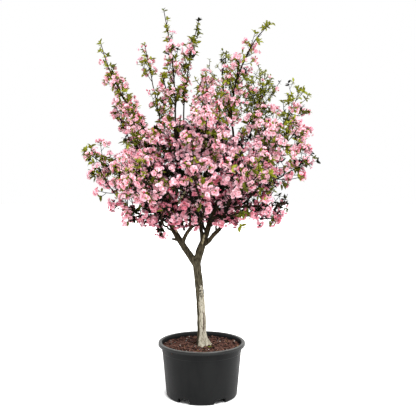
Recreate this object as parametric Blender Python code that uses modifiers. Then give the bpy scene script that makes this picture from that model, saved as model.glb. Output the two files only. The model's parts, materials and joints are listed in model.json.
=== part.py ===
"""A potted flowering crabapple tree in blossom, in a black nursery pot.

Metres, with +Z up. The front of the tree faces -Y. The origin is on the ground, under the
middle of the pot. The pot and its compost are turned shapes. The trunk and the boughs are
tapering tubes, and each bough ends in a mass of foliage of its own: one stem, twigs that
branch from it by a seeded rule, and blossom and leaves fused on, larger than life.
"""

import math
import random
from collections import namedtuple

import bmesh
import bpy
from mathutils import Matrix, Vector

# Clear gap between pieces that touch
GAP = 0.0003

# Pot: a rim 450 mm across on a wall that narrows towards the foot
POT_HEIGHT = 0.272
POT_RIM_RADIUS = 0.225
POT_WALL_TOP_RADIUS = 0.2065
POT_WALL_FOOT_RADIUS = 0.183
POT_WALL = 0.003
LIP_DEPTH = 0.016
LIP_CURL = 0.0035
BAND_DEPTH = 0.031
BAND_STEP = 0.002
FOOT_HEIGHT = 0.027
FOOT_WIDTH = 0.017
FOOT_DRAFT = 0.001
CORNER = 0.006
TURN_STEPS = 36

# Six notches part the ring under the pot into six feet, with a foot at the very front
NOTCH_COUNT = 6
NOTCH_WIDTH = 0.066
NOTCH_HEIGHT = 0.024
NOTCH_REACH = 0.060
NOTCH_CHAMFER = 0.007
DRAIN_RADIUS = 0.008
DRAIN_CIRCLE = 0.130

# Compost, a little lower at the wall than round the trunk
SOIL_LEVEL = 0.2500
SOIL_FALL = 0.004
SOIL_FLAT_RADIUS = 0.060

# Trunk, from its flat cut on the compost to the fork
TRUNK_FOOT = Vector((0.0, 0.0, SOIL_LEVEL + GAP))
TRUNK_FORK = Vector((-0.029, 0.0, 0.686))
TRUNK_BOW = Vector((0.018, 0.0, 0.0))
TRUNK_FOOT_RADIUS = 0.0250
TRUNK_FORK_RADIUS = 0.0210
TRUNK_RINGS = 9
TRUNK_CROWDING = 1.5
TRUNK_TAPER_POWER = 0.7
TRUNK_SIDES_SETTING = 3

# Root flare: a swelling that fades upwards, with ridges, and larger towards +X
FLARE_HEIGHT = 0.055
FLARE = 0.85
FLARE_RIDGES = 3
FLARE_TURN = math.radians(12)
FLARE_RIDGE_DEPTH = (0.6, 0.4)
FLARE_LEAN = (0.8, 0.3)

# Boughs
BOUGH_RINGS = 6
BOUGH_SIDES_SETTING = 1
BOUGH_TAPER_POWER = 0.8
KINK = 0.004
BASE_SHARE = 0.95

# Sprays of blossom and leaf, larger than life, and smaller on a slim mass
BLOSSOM_WIDTH = 0.088
BLOSSOM_HEIGHT = 0.050
LEAF_LENGTH = 0.105
LEAF_WIDTH = 0.050
LEAF_THICKNESS = 0.006
SPRAY_SIZES = (0.88, 1.12)
SMALLEST_SCALE = 0.45
BROAD_REACH = 0.145
SPRAY_SPACING = 0.066
SPRAY_LEAN = math.radians(60)
SPRAY_LIFT = 0.25
SPRAY_TRIES = 7
SPRAY_SHRINK = 0.96
TIP_LEAN = math.radians(9)
TIP_SINK = 0.004
TIP_EDGE = 2.2
GREEN_BELOW = 0.5

# The stem of a mass: a collar square to its bough's tip, then parts that follow its curve
STEM_FIT = 0.95
STEM_COLLAR = 0.012
STEM_OVERLAP = 0.004
STEM_JOINT = 0.98
STEM_PARTS = 3
STEM_TAPER = 0.72
STEM_SWELL = 1.04
STEM_ROLL = 0.3
STEM_SET_OUT = 0.2
STEM_CURL_AT = 0.55
STEM_SPRAYS = 0.40
STEM_SPRAYS_ALONG = (0.22, 0.74)
STEM_SPRAYS_TURN = 2.0

# Twigs, and the part of the stem that bears them
TWIGS_ALONG = (0.16, 0.72)
TWIG_SHARE = 0.62
TWIG_LEAN = math.radians(58)
TWIG_LENGTHS = (0.8, 1.0)
TWIG_TIP_ROOM = 0.7 * BLOSSOM_HEIGHT
TWIG_STEP = 0.015
SHORTEST_TWIG = 0.035
TWIG_ROOT = 0.01
TWIG_ROOM = 0.003
TWIG_SPRAY_ONWARD = 0.1
GOLDEN_TURN = math.radians(137.5)

# Each mass keeps to its own space: widest before its middle, and clear of every limb
WIDEST_AT = 0.4
WIDTH_SPAN = 0.655
SPACE_MARGIN = 0.08
LIMB_MARGIN = 0.004

# Each kind of spray: its waist's share of its length, its half width and half depth there
SPRAY_SHAPES = {
    "leaf": (0.5, LEAF_WIDTH / LEAF_LENGTH / 2, LEAF_THICKNESS / LEAF_LENGTH / 2),
    "blossom": (0.8, BLOSSOM_WIDTH / BLOSSOM_HEIGHT / 2, BLOSSOM_WIDTH / BLOSSOM_HEIGHT / 2),
}
SPRAY_SIDES = {"leaf": 4, "blossom": 5}

# A row of balls as wide as the spray, for keeping it clear of the limbs
BALL_SHARES = (0.1, 0.25, 0.5, 0.65, 0.8, 0.95)
BALL_BLUNTNESS = 0.1
SPRAY_BALLS = {
    kind: [(share, width * min(share / waist, (1 - share) / (1 - waist) + BALL_BLUNTNESS))
           for share in BALL_SHARES]
    for kind, (waist, width, _) in SPRAY_SHAPES.items()
}

# Colours, as linear base colours
POT_BLACK = (0.016, 0.016, 0.017)
SOIL_BROWN = (0.085, 0.038, 0.024)
TRUNK_CREAM = (0.44, 0.37, 0.27)
BARK_BROWN = (0.055, 0.038, 0.030)
BLOSSOM_PINK = (0.78, 0.27, 0.34)
LEAF_GREEN = (0.16, 0.23, 0.05)

# One bough and the mass at its tip: where it leaves its parent, as a share of the parent's
# length, the bough's tip and bow, its radius at both ends, and the mass's far end, reach,
# number of twigs and share of blossom among its sprays. With curl its stem sets out sideways
# and then rises; with less than none it rises first and then leans out.
FIELDS = "name parent at tip bow radius end reach twigs blossom curl"
Branch = namedtuple("Branch", FIELDS, defaults=(0.15,))

BRANCHES = (
    Branch("left", "trunk", 0.95, (-0.195, -0.02, 0.990), (-0.040, 0.0, 0.006), (0.0195, 0.0122),
           (-0.105, -0.08, 1.440), 0.150, 7, 0.85),
    Branch("right", "trunk", 0.96, (0.108, 0.02, 1.055), (-0.016, 0.0, 0.0), (0.0198, 0.0102),
           (0.020, -0.07, 1.640), 0.135, 8, 0.90),
    Branch("inner_front", "left", 0.31, (-0.004, -0.19, 0.917), (-0.056, 0.0, 0.002),
           (0.0102, 0.0060), (-0.035, -0.43, 1.140), 0.150, 7, 0.90),
    Branch("inner_left", "left", 0.92, (-0.060, -0.09, 1.118), (0.010, -0.02, -0.085),
           (0.0078, 0.0052), (-0.040, -0.27, 1.270), 0.120, 5, 0.75),
    Branch("left_low", "left", 0.70, (-0.290, -0.05, 0.925), (0.010, 0.0, 0.012),
           (0.0082, 0.0055), (-0.512, -0.07, 1.150), 0.120, 6, 0.80),
    Branch("left_under", "left", 0.58, (-0.197, -0.10, 0.890), (-0.01, -0.02, -0.010),
           (0.0065, 0.0048), (-0.175, -0.31, 0.995), 0.102, 5, 0.85),
    Branch("left_front", "left", 0.64, (-0.180, -0.18, 1.000), (0.020, -0.05, -0.030),
           (0.0075, 0.0052), (-0.330, -0.472, 1.150), 0.150, 7, 0.85),
    Branch("left_back", "left", 0.74, (-0.215, 0.17, 1.010), (0.0, 0.05, -0.040), (0.0075, 0.0052),
           (-0.350, 0.45, 1.170), 0.165, 7, 0.70),
    Branch("left_side", "left", 0.80, (-0.290, 0.01, 1.040), (-0.010, 0.01, -0.020),
           (0.0078, 0.0052), (-0.582, 0.00, 1.242), 0.116, 7, 0.65, 0.0),
    Branch("left_breast", "left", 0.88, (-0.235, -0.12, 1.130), (0.010, -0.07, -0.040),
           (0.0062, 0.0048), (-0.310, -0.26, 1.310), 0.118, 6, 0.85),
    Branch("left_spire", "left", 0.84, (-0.250, 0.0, 1.240), (-0.070, 0.04, -0.040),
           (0.0085, 0.0058), (-0.495, -0.07, 1.795), 0.090, 6, 0.60),
    Branch("left_shoulder", "left_spire", 0.42, (-0.310, 0.10, 1.180), (0.0, 0.03, -0.020),
           (0.0055, 0.0045), (-0.440, 0.14, 1.480), 0.100, 6, 0.70),
    Branch("second_spire", "left_spire", 0.72, (-0.214, 0.08, 1.335), (0.030, 0.02, 0.0),
           (0.0052, 0.0042), (-0.305, 0.05, 1.815), 0.088, 4, 0.45),
    Branch("middle", "right", 0.27, (-0.115, 0.06, 1.170), (0.046, 0.02, -0.020), (0.0115, 0.0068),
           (-0.188, -0.01, 1.965), 0.082, 6, 0.60),
    Branch("fourth_spire", "middle", 0.62, (-0.080, 0.09, 1.260), (0.030, 0.02, 0.0),
           (0.0062, 0.0048), (-0.035, 0.02, 1.925), 0.080, 5, 0.60, -0.06),
    Branch("right_low", "right", 0.25, (0.140, -0.07, 0.945), (0.014, -0.01, -0.028),
           (0.0138, 0.0085), (0.415, -0.11, 0.990), 0.120, 6, 0.80),
    Branch("right_under", "right_low", 0.45, (0.100, -0.14, 0.914), (-0.020, -0.01, 0.010),
           (0.0060, 0.0048), (0.195, -0.31, 0.965), 0.110, 5, 0.85),
    Branch("right_front", "right", 0.50, (0.135, -0.18, 1.000), (0.030, -0.05, -0.020),
           (0.0080, 0.0052), (0.260, -0.472, 1.150), 0.155, 7, 0.85),
    Branch("right_side", "right", 0.62, (0.275, -0.01, 1.050), (0.030, 0.0, -0.040),
           (0.0080, 0.0052), (0.566, -0.01, 1.242), 0.130, 7, 0.75),
    Branch("right_back", "right", 0.56, (0.165, 0.18, 1.010), (0.020, 0.05, -0.030),
           (0.0080, 0.0052), (0.370, 0.45, 1.170), 0.165, 7, 0.70),
    Branch("back", "right", 0.42, (-0.010, 0.18, 0.940), (0.0, 0.04, -0.030), (0.0085, 0.0055),
           (0.010, 0.490, 1.085), 0.180, 7, 0.75),
    Branch("back_top", "back", 0.62, (-0.050, 0.18, 1.160), (-0.02, 0.01, 0.0), (0.0058, 0.0048),
           (-0.060, 0.34, 1.540), 0.145, 6, 0.55),
    Branch("front_top", "right", 0.84, (0.020, -0.14, 1.150), (0.010, -0.06, -0.030),
           (0.0062, 0.0048), (0.020, -0.33, 1.420), 0.145, 6, 0.85),
    Branch("right_breast", "right", 0.78, (0.205, -0.12, 1.130), (0.030, -0.05, -0.020),
           (0.0062, 0.0048), (0.455, -0.22, 1.345), 0.145, 6, 0.80),
    Branch("right_spire", "right", 0.70, (0.155, 0.02, 1.430), (0.105, 0.06, -0.080),
           (0.0085, 0.0055), (0.350, -0.06, 1.905), 0.085, 6, 0.75, -0.25),
    Branch("right_shoulder", "right_spire", 0.36, (0.300, 0.05, 1.240), (0.030, 0.01, -0.030),
           (0.0058, 0.0048), (0.492, 0.09, 1.595), 0.140, 6, 0.55),
    Branch("green_fan", "right_spire", 0.52, (0.150, 0.17, 1.340), (0.0, 0.03, 0.0),
           (0.0055, 0.0042), (0.115, 0.29, 1.780), 0.130, 7, 0.04),
    Branch("green_side", "right_spire", 0.66, (0.245, 0.13, 1.370), (0.0, 0.03, 0.0),
           (0.0052, 0.0042), (0.350, 0.20, 1.700), 0.140, 7, 0.04),
)

# A dead stub on the left bough, broken off square
STUB_AT = 0.43
STUB_TIP = Vector((-0.156, 0.02, 0.801))
STUB_RADIUS = (0.0075, 0.0055)


def clear_scene():
    for item in list(bpy.data.objects):
        bpy.data.objects.remove(item, do_unlink=True)


def make_collection(name, hidden=False):
    made = bpy.data.collections.new(name)
    made.hide_render = hidden
    bpy.context.scene.collection.children.link(made)
    return made


def make_material(name, colour, roughness):
    made = bpy.data.materials.new(name)
    made.use_nodes = True
    shader = made.node_tree.nodes["Principled BSDF"]
    shader.inputs["Base Color"].default_value = (*colour, 1.0)
    shader.inputs["Roughness"].default_value = roughness
    made.diffuse_color = (*colour, 1.0)
    return made


def add_object(name, mesh, collection, material=None):
    made = bpy.data.objects.new(name, mesh)
    collection.objects.link(made)
    if material:
        mesh.materials.append(material)
    return made


def smooth(mesh, angle=math.radians(50)):
    mesh.shade_smooth()
    mesh.set_sharp_from_angle(angle=angle)


def evaluated_mesh(item):
    """The object's mesh with its modifiers applied, in the object's own axes."""
    bpy.context.view_layer.update()
    graph = bpy.context.evaluated_depsgraph_get()
    return bpy.data.meshes.new_from_object(item.evaluated_get(graph))


# The pot and its compost


def wall_radius(height):
    """Outer radius of the pot's wall, without its upper band."""
    rise = height / (POT_HEIGHT - LIP_DEPTH)
    return POT_WALL_FOOT_RADIUS + (POT_WALL_TOP_RADIUS - POT_WALL_FOOT_RADIUS) * rise


def inner_radius(height):
    """Inner radius of the pot, which follows the band."""
    band = BAND_STEP if height > band_height() else 0.0
    return wall_radius(height) + band - POT_WALL


def band_height():
    return POT_HEIGHT - LIP_DEPTH - BAND_DEPTH


def inner_profile(floor, shrink, top):
    """Radius and height down the inside of the pot, from top to floor, shrunk by a gap."""
    edge = floor + CORNER
    step = band_height()
    return [
        (inner_radius(top) - shrink, top),
        (inner_radius(step + BAND_STEP) - shrink, step + BAND_STEP),
        (inner_radius(step - BAND_STEP) - shrink, step - BAND_STEP),
        (inner_radius(edge) - shrink, edge),
        (inner_radius(edge) - shrink - CORNER, floor),
        (0.0, floor),
    ]


def pot_profile():
    """Half section of the pot: floor, inside, over the rolled lip, then down the outside."""
    top = POT_HEIGHT
    under_lip = top - LIP_DEPTH
    under_top = top - POT_WALL
    inside = inner_profile(FOOT_HEIGHT + POT_WALL, 0.0, under_top)
    lip = [
        (inner_radius(top) + LIP_CURL / 2, top),
        (POT_RIM_RADIUS - LIP_CURL, top),
        (POT_RIM_RADIUS, top - LIP_CURL),
        (POT_RIM_RADIUS, under_lip),
        (POT_RIM_RADIUS - POT_WALL, under_lip),
        (POT_RIM_RADIUS - POT_WALL, under_top - LIP_CURL),
        (wall_radius(under_top) + BAND_STEP, under_top - LIP_CURL),
    ]
    step = band_height()
    outside = [
        (wall_radius(step) + BAND_STEP, step),
        (wall_radius(step - BAND_STEP), step - BAND_STEP),
        (wall_radius(CORNER), CORNER),
        (wall_radius(0.0) - CORNER / 4, CORNER / 3),
        (wall_radius(0.0) - CORNER, 0.0),
        (wall_radius(0.0) - CORNER - FOOT_WIDTH, 0.0),
        (wall_radius(0.0) - CORNER - FOOT_WIDTH - FOOT_DRAFT, FOOT_HEIGHT),
        (0.0, FOOT_HEIGHT),
    ]
    return inside[::-1] + lip + outside


def soil_profile():
    """Half section of the compost: its top, its side and its flat underside."""
    edge = SOIL_LEVEL - SOIL_FALL
    side = inner_profile(FOOT_HEIGHT + POT_WALL + GAP, GAP, edge)
    return [(0.0, SOIL_LEVEL), (SOIL_FLAT_RADIUS, SOIL_LEVEL)] + side


def turned(name, profile, collection, material):
    """An object turned about Z from a profile of radius and height."""
    mesh = bpy.data.meshes.new(name)
    edges = [(i, i + 1) for i in range(len(profile) - 1)]
    mesh.from_pydata([(radius, 0.0, height) for radius, height in profile], edges, [])
    made = add_object(name, mesh, collection, material)
    screw = made.modifiers.new("turn", "SCREW")
    screw.steps = TURN_STEPS
    screw.render_steps = TURN_STEPS
    screw.use_merge_vertices = True
    screw.merge_threshold = 0.00001
    screw.use_smooth_shade = False
    return made


def notch_cutter(index, cutters):
    """A block with two edges taken off, which opens one notch between two feet."""
    bm = bmesh.new()
    bmesh.ops.create_cube(bm, size=1.0)
    for vert in bm.verts:
        vert.co.x *= NOTCH_REACH
        vert.co.y *= NOTCH_WIDTH
        vert.co.z = NOTCH_HEIGHT if vert.co.z > 0 else -NOTCH_HEIGHT
    edges = [e for e in bm.edges if all(v.co.z > 0 for v in e.verts)]
    edges = [e for e in edges if abs(e.verts[0].co.y - e.verts[1].co.y) < 1e-6]
    bmesh.ops.bevel(bm, geom=edges, offset=NOTCH_CHAMFER, segments=1, affect="EDGES")
    mesh = bpy.data.meshes.new("notch")
    bm.to_mesh(mesh)
    bm.free()
    made = add_object(f"notch_{index}", mesh, cutters)
    turn = math.tau * index / NOTCH_COUNT
    reach = POT_WALL_FOOT_RADIUS - CORNER
    made.location = (reach * math.cos(turn), reach * math.sin(turn), 0.0)
    made.rotation_euler.z = turn
    return made


def drain_cutter(index, cutters):
    """A round drain hole in the floor, one in line with each notch and one in the middle."""
    bm = bmesh.new()
    bmesh.ops.create_cone(bm, cap_ends=True, segments=8, radius1=DRAIN_RADIUS,
                          radius2=DRAIN_RADIUS, depth=4 * POT_WALL)
    mesh = bpy.data.meshes.new("drain")
    bm.to_mesh(mesh)
    bm.free()
    made = add_object(f"drain_{index}", mesh, cutters)
    circle = DRAIN_CIRCLE if index < NOTCH_COUNT else 0.0
    turn = math.tau * index / NOTCH_COUNT
    made.location = (circle * math.cos(turn), circle * math.sin(turn), FOOT_HEIGHT)
    return made


def make_pot(collection, materials):
    pot = turned("pot", pot_profile(), collection, materials["pot"])
    cutters = make_collection("pot cutters", hidden=True)
    made = [notch_cutter(i, cutters) for i in range(NOTCH_COUNT)]
    made += [drain_cutter(i, cutters) for i in range(NOTCH_COUNT + 1)]
    for cutter in made:
        cutter.hide_render = True
        cutter.display_type = "WIRE"
    cut = pot.modifiers.new("notches and drains", "BOOLEAN")
    cut.operation = "DIFFERENCE"
    cut.operand_type = "COLLECTION"
    cut.collection = cutters
    return pot


def make_soil(collection, materials):
    return turned("soil", soil_profile(), collection, materials["soil"])


# Limbs


def bow_point(start, end, bow, share):
    """A point on the bowed line from start to end."""
    control = (start + end) / 2 + bow
    return start.lerp(control, share).lerp(control.lerp(end, share), share)


def along(path, share):
    """The point at this share of a path's length."""
    lengths = [(b - a).length for a, b in zip(path, path[1:])]
    left = share * sum(lengths)
    for start, end, length in zip(path, path[1:], lengths):
        if left <= length:
            return start.lerp(end, left / length)
        left -= length
    return path[-1].copy()


def trunk_line():
    """Centres and radii of the trunk, closer together at its foot, which rises upright."""
    centres, radii = [], []
    for ring in range(TRUNK_RINGS):
        share = (ring / (TRUNK_RINGS - 1)) ** TRUNK_CROWDING
        centres.append(bow_point(TRUNK_FOOT, TRUNK_FORK, TRUNK_BOW, share))
        taper = share ** TRUNK_TAPER_POWER
        radii.append(TRUNK_FOOT_RADIUS + (TRUNK_FORK_RADIUS - TRUNK_FOOT_RADIUS) * taper)
    centres[1].x = centres[0].x
    centres[1].y = centres[0].y
    return centres, radii


def bough_line(branch, lines):
    """Centres and radii of a bough, which starts inside its parent and has slight kinks."""
    rng = random.Random(branch.name)
    parent_centres, parent_radii = lines[branch.parent]
    start = along(parent_centres, branch.at)
    thickest = BASE_SHARE * parent_radii[int(branch.at * (len(parent_radii) - 1))]
    base, slim = min(branch.radius[0], thickest), branch.radius[1]
    end, bow = Vector(branch.tip), Vector(branch.bow)
    centres, radii = [], []
    for ring in range(BOUGH_RINGS):
        share = ring / (BOUGH_RINGS - 1)
        kink = Vector([rng.uniform(-KINK, KINK) for _ in range(3)])
        inner = 0 < ring < BOUGH_RINGS - 1
        centres.append(bow_point(start, end, bow, share) + kink * inner)
        radii.append(base + (slim - base) * share ** BOUGH_TAPER_POWER)
    return centres, radii


def stub_line(lines):
    start = along(lines["left"][0], STUB_AT)
    return [start, start.lerp(STUB_TIP, 0.5), STUB_TIP], [STUB_RADIUS[0], *STUB_RADIUS]


def tube(name, centres, radii, sides_setting, collection, material=None, grow=0.0):
    """A tapering tube as a closed mesh, made from a bevelled curve with filled caps."""
    curve = bpy.data.curves.new(name, "CURVE")
    curve.dimensions = "3D"
    curve.bevel_depth = 1.0
    curve.bevel_resolution = sides_setting
    curve.use_fill_caps = True
    spline = curve.splines.new("POLY")
    spline.points.add(len(centres) - 1)
    last = (centres[-1] - centres[-2]).normalized() * grow
    for point, centre, radius in zip(spline.points, centres, radii):
        point.co = (*centre, 1.0)
        point.radius = radius + grow
    spline.points[-1].co = (*(centres[-1] + last), 1.0)
    guide = bpy.data.objects.new(name + "_guide", curve)
    bpy.context.scene.collection.objects.link(guide)
    mesh = evaluated_mesh(guide)
    bpy.data.objects.remove(guide, do_unlink=True)
    bm = bmesh.new()
    bm.from_mesh(mesh)
    bmesh.ops.remove_doubles(bm, verts=bm.verts, dist=1e-6)
    bmesh.ops.recalc_face_normals(bm, faces=bm.faces)
    bm.to_mesh(mesh)
    bm.free()
    mesh.materials.clear()
    return add_object(name, mesh, collection, material)


def flare_foot(mesh, grow=0.0):
    """Pushes the trunk's lowest rings out into root ridges, widest towards +X."""
    for vert in mesh.vertices:
        height = vert.co.z - TRUNK_FOOT.z
        if height > FLARE_HEIGHT:
            continue
        side = Vector((vert.co.x - TRUNK_FOOT.x, vert.co.y - TRUNK_FOOT.y))
        turn = math.atan2(side.y, side.x)
        even, wave = FLARE_RIDGE_DEPTH
        ridge = even + wave * math.cos(FLARE_RIDGES * (turn - FLARE_TURN))
        ridge *= FLARE_LEAN[0] + FLARE_LEAN[1] * math.cos(turn)
        push = 1 + FLARE * ridge * (1 - height / FLARE_HEIGHT) ** 2
        vert.co.x = TRUNK_FOOT.x + side.x * push
        vert.co.y = TRUNK_FOOT.y + side.y * push


def make_trunk(lines, collection, materials):
    centres, radii = lines["trunk"]
    made = tube("trunk", centres, radii, TRUNK_SIDES_SETTING, collection, materials["trunk"])
    flare_foot(made.data)
    smooth(made.data)
    return made


def grown_tube(name, line, cutters):
    """The same limb, thicker by the gap all round, to cut its children clear of it."""
    setting = TRUNK_SIDES_SETTING if name == "trunk" else BOUGH_SIDES_SETTING
    made = tube(name + "_clear", *line, setting, cutters, grow=GAP)
    made.hide_render = True
    made.display_type = "WIRE"
    return made


def carve(item, cutter):
    """Cuts a limb clear of another that it springs from or beside."""
    cut = item.modifiers.new("clear of " + cutter.name, "BOOLEAN")
    cut.operation = "DIFFERENCE"
    cut.object = cutter


def near(line_a, line_b):
    """True where two limbs come close enough for one to need cutting clear of the other."""
    for a, b, radius in zip(line_a[0], line_a[0][1:], line_a[1]):
        for c, d, other in zip(line_b[0], line_b[0][1:], line_b[1]):
            if segment_gap(a, b, c, d) < radius + other + 2 * GAP:
                return True
    return False


def make_boughs(lines, collection, materials):
    cutters = make_collection("limb cutters", hidden=True)
    clear = {}
    names = ["trunk"] + [branch.name for branch in BRANCHES]
    for branch in BRANCHES:
        made = tube(branch.name + "_bough", *lines[branch.name], BOUGH_SIDES_SETTING,
                    collection, materials["bark"])
        smooth(made.data)
        for other in names[: names.index(branch.name)]:
            if near(lines[branch.name], lines[other]):
                if other not in clear:
                    clear[other] = grown_tube(other, lines[other], cutters)
                carve(made, clear[other])
    stub = tube("broken_stub", *stub_line(lines), BOUGH_SIDES_SETTING, collection, materials["bark"])
    carve(stub, clear["left"])


# Room for the foliage


def segment_gap(a, b, c, d):
    """Least distance between the straight lines from a to b and from c to d."""
    u, v, w = b - a, d - c, a - c
    uu, uv, vv = u.dot(u), u.dot(v), v.dot(v)
    uw, vw = u.dot(w), v.dot(w)
    det = uu * vv - uv * uv
    s = 0.0 if det < 1e-12 else min(1.0, max(0.0, (uv * vw - vv * uw) / det))
    t = min(1.0, max(0.0, (uv * s + vw) / vv))
    s = min(1.0, max(0.0, (uv * t - uw) / uu))
    return ((a + u * s) - (c + v * t)).length


def reach_at(branch, share):
    """How far a mass spreads from its axis: widest before its middle, slim at its end."""
    return branch.reach * math.sqrt(1 - ((share - WIDEST_AT) / WIDTH_SPAN) ** 2)


def nearness(point, branch):
    """Distance from a mass's axis over its reach there: 0 on the axis, 1 at its edge."""
    start, end = Vector(branch.tip), Vector(branch.end)
    axis = end - start
    share = min(1.0, max(0.0, (point - start).dot(axis) / axis.dot(axis)))
    return (point - start.lerp(end, share)).length / reach_at(branch, share)


def in_own_space(points, branch, edge=1.0):
    """True where every point is nearer to its own mass than to any other, and within reach."""
    for point in points:
        own = nearness(point, branch)
        if own > edge:
            return False
        for other in BRANCHES:
            if other is not branch and nearness(point, other) < own + SPACE_MARGIN:
                return False
    return True


def twig_clear(start, end, width, limbs):
    """True where a twig keeps off every limb."""
    return all(
        segment_gap(start, end, a, b) > width + radius + LIMB_MARGIN for a, b, radius in limbs
    )


def point_gap(point, a, b):
    """Least distance from a point to the straight line from a to b."""
    axis = b - a
    share = min(1.0, max(0.0, (point - a).dot(axis) / axis.dot(axis)))
    return (point - a - axis * share).length


def spray_clear(root, way, kind, length, limbs):
    """True where a spray, taken as a row of balls as wide as it is there, keeps off every limb."""
    for share, width in SPRAY_BALLS[kind]:
        point = root + way * length * share
        room = width * length + LIMB_MARGIN
        if any(point_gap(point, a, b) < room + radius for a, b, radius in limbs):
            return False
    return True


def limb_parts(lines):
    """Every straight part of every limb, with its radius."""
    parts = []
    for centres, radii in lines.values():
        parts += list(zip(centres, centres[1:], radii))
    return parts


# Foliage


def unit_spray(kind):
    """A closed double cone one unit long, from a root at the origin up +Z, widest at its waist."""
    waist, half_width, half_depth = SPRAY_SHAPES[kind]
    bm = bmesh.new()
    bmesh.ops.create_uvsphere(bm, u_segments=SPRAY_SIDES[kind], v_segments=2, radius=1.0)
    for vert in bm.verts:
        height = 0.0 if vert.co.z < -0.5 else 1.0 if vert.co.z > 0.5 else waist
        vert.co = (vert.co.x * half_width, vert.co.y * half_depth, height)
    mesh = bpy.data.meshes.new(kind)
    bm.to_mesh(mesh)
    bm.free()
    return mesh


def unit_twig():
    """A three-sided tapering twig one unit long, up +Z from the origin."""
    bm = bmesh.new()
    bmesh.ops.create_cone(bm, cap_ends=True, segments=3, radius1=1.0, radius2=STEM_TAPER,
                          depth=1.0, matrix=Matrix.Translation((0.0, 0.0, 0.5)))
    mesh = bpy.data.meshes.new("twig")
    bm.to_mesh(mesh)
    bm.free()
    return mesh


def unit_shapes():
    return {"twig": unit_twig(), "leaf": unit_spray("leaf"), "blossom": unit_spray("blossom")}


def pose(root, way, roll, scale):
    """Matrix that stands +Z along way at root, rolled about it."""
    turn = way.to_track_quat("Z", "Y").to_matrix().to_4x4()
    size = Matrix.Diagonal((*scale, 1.0))
    return Matrix.Translation(root) @ turn @ Matrix.Rotation(roll, 4, "Z") @ size


def side_way(axis, turn, lean):
    """A direction that leans out from an axis by lean, at this turn about it."""
    across = axis.orthogonal().normalized()
    across.rotate(Matrix.Rotation(turn, 3, axis))
    return (axis * math.cos(lean) + across * math.sin(lean)).normalized()


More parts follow.
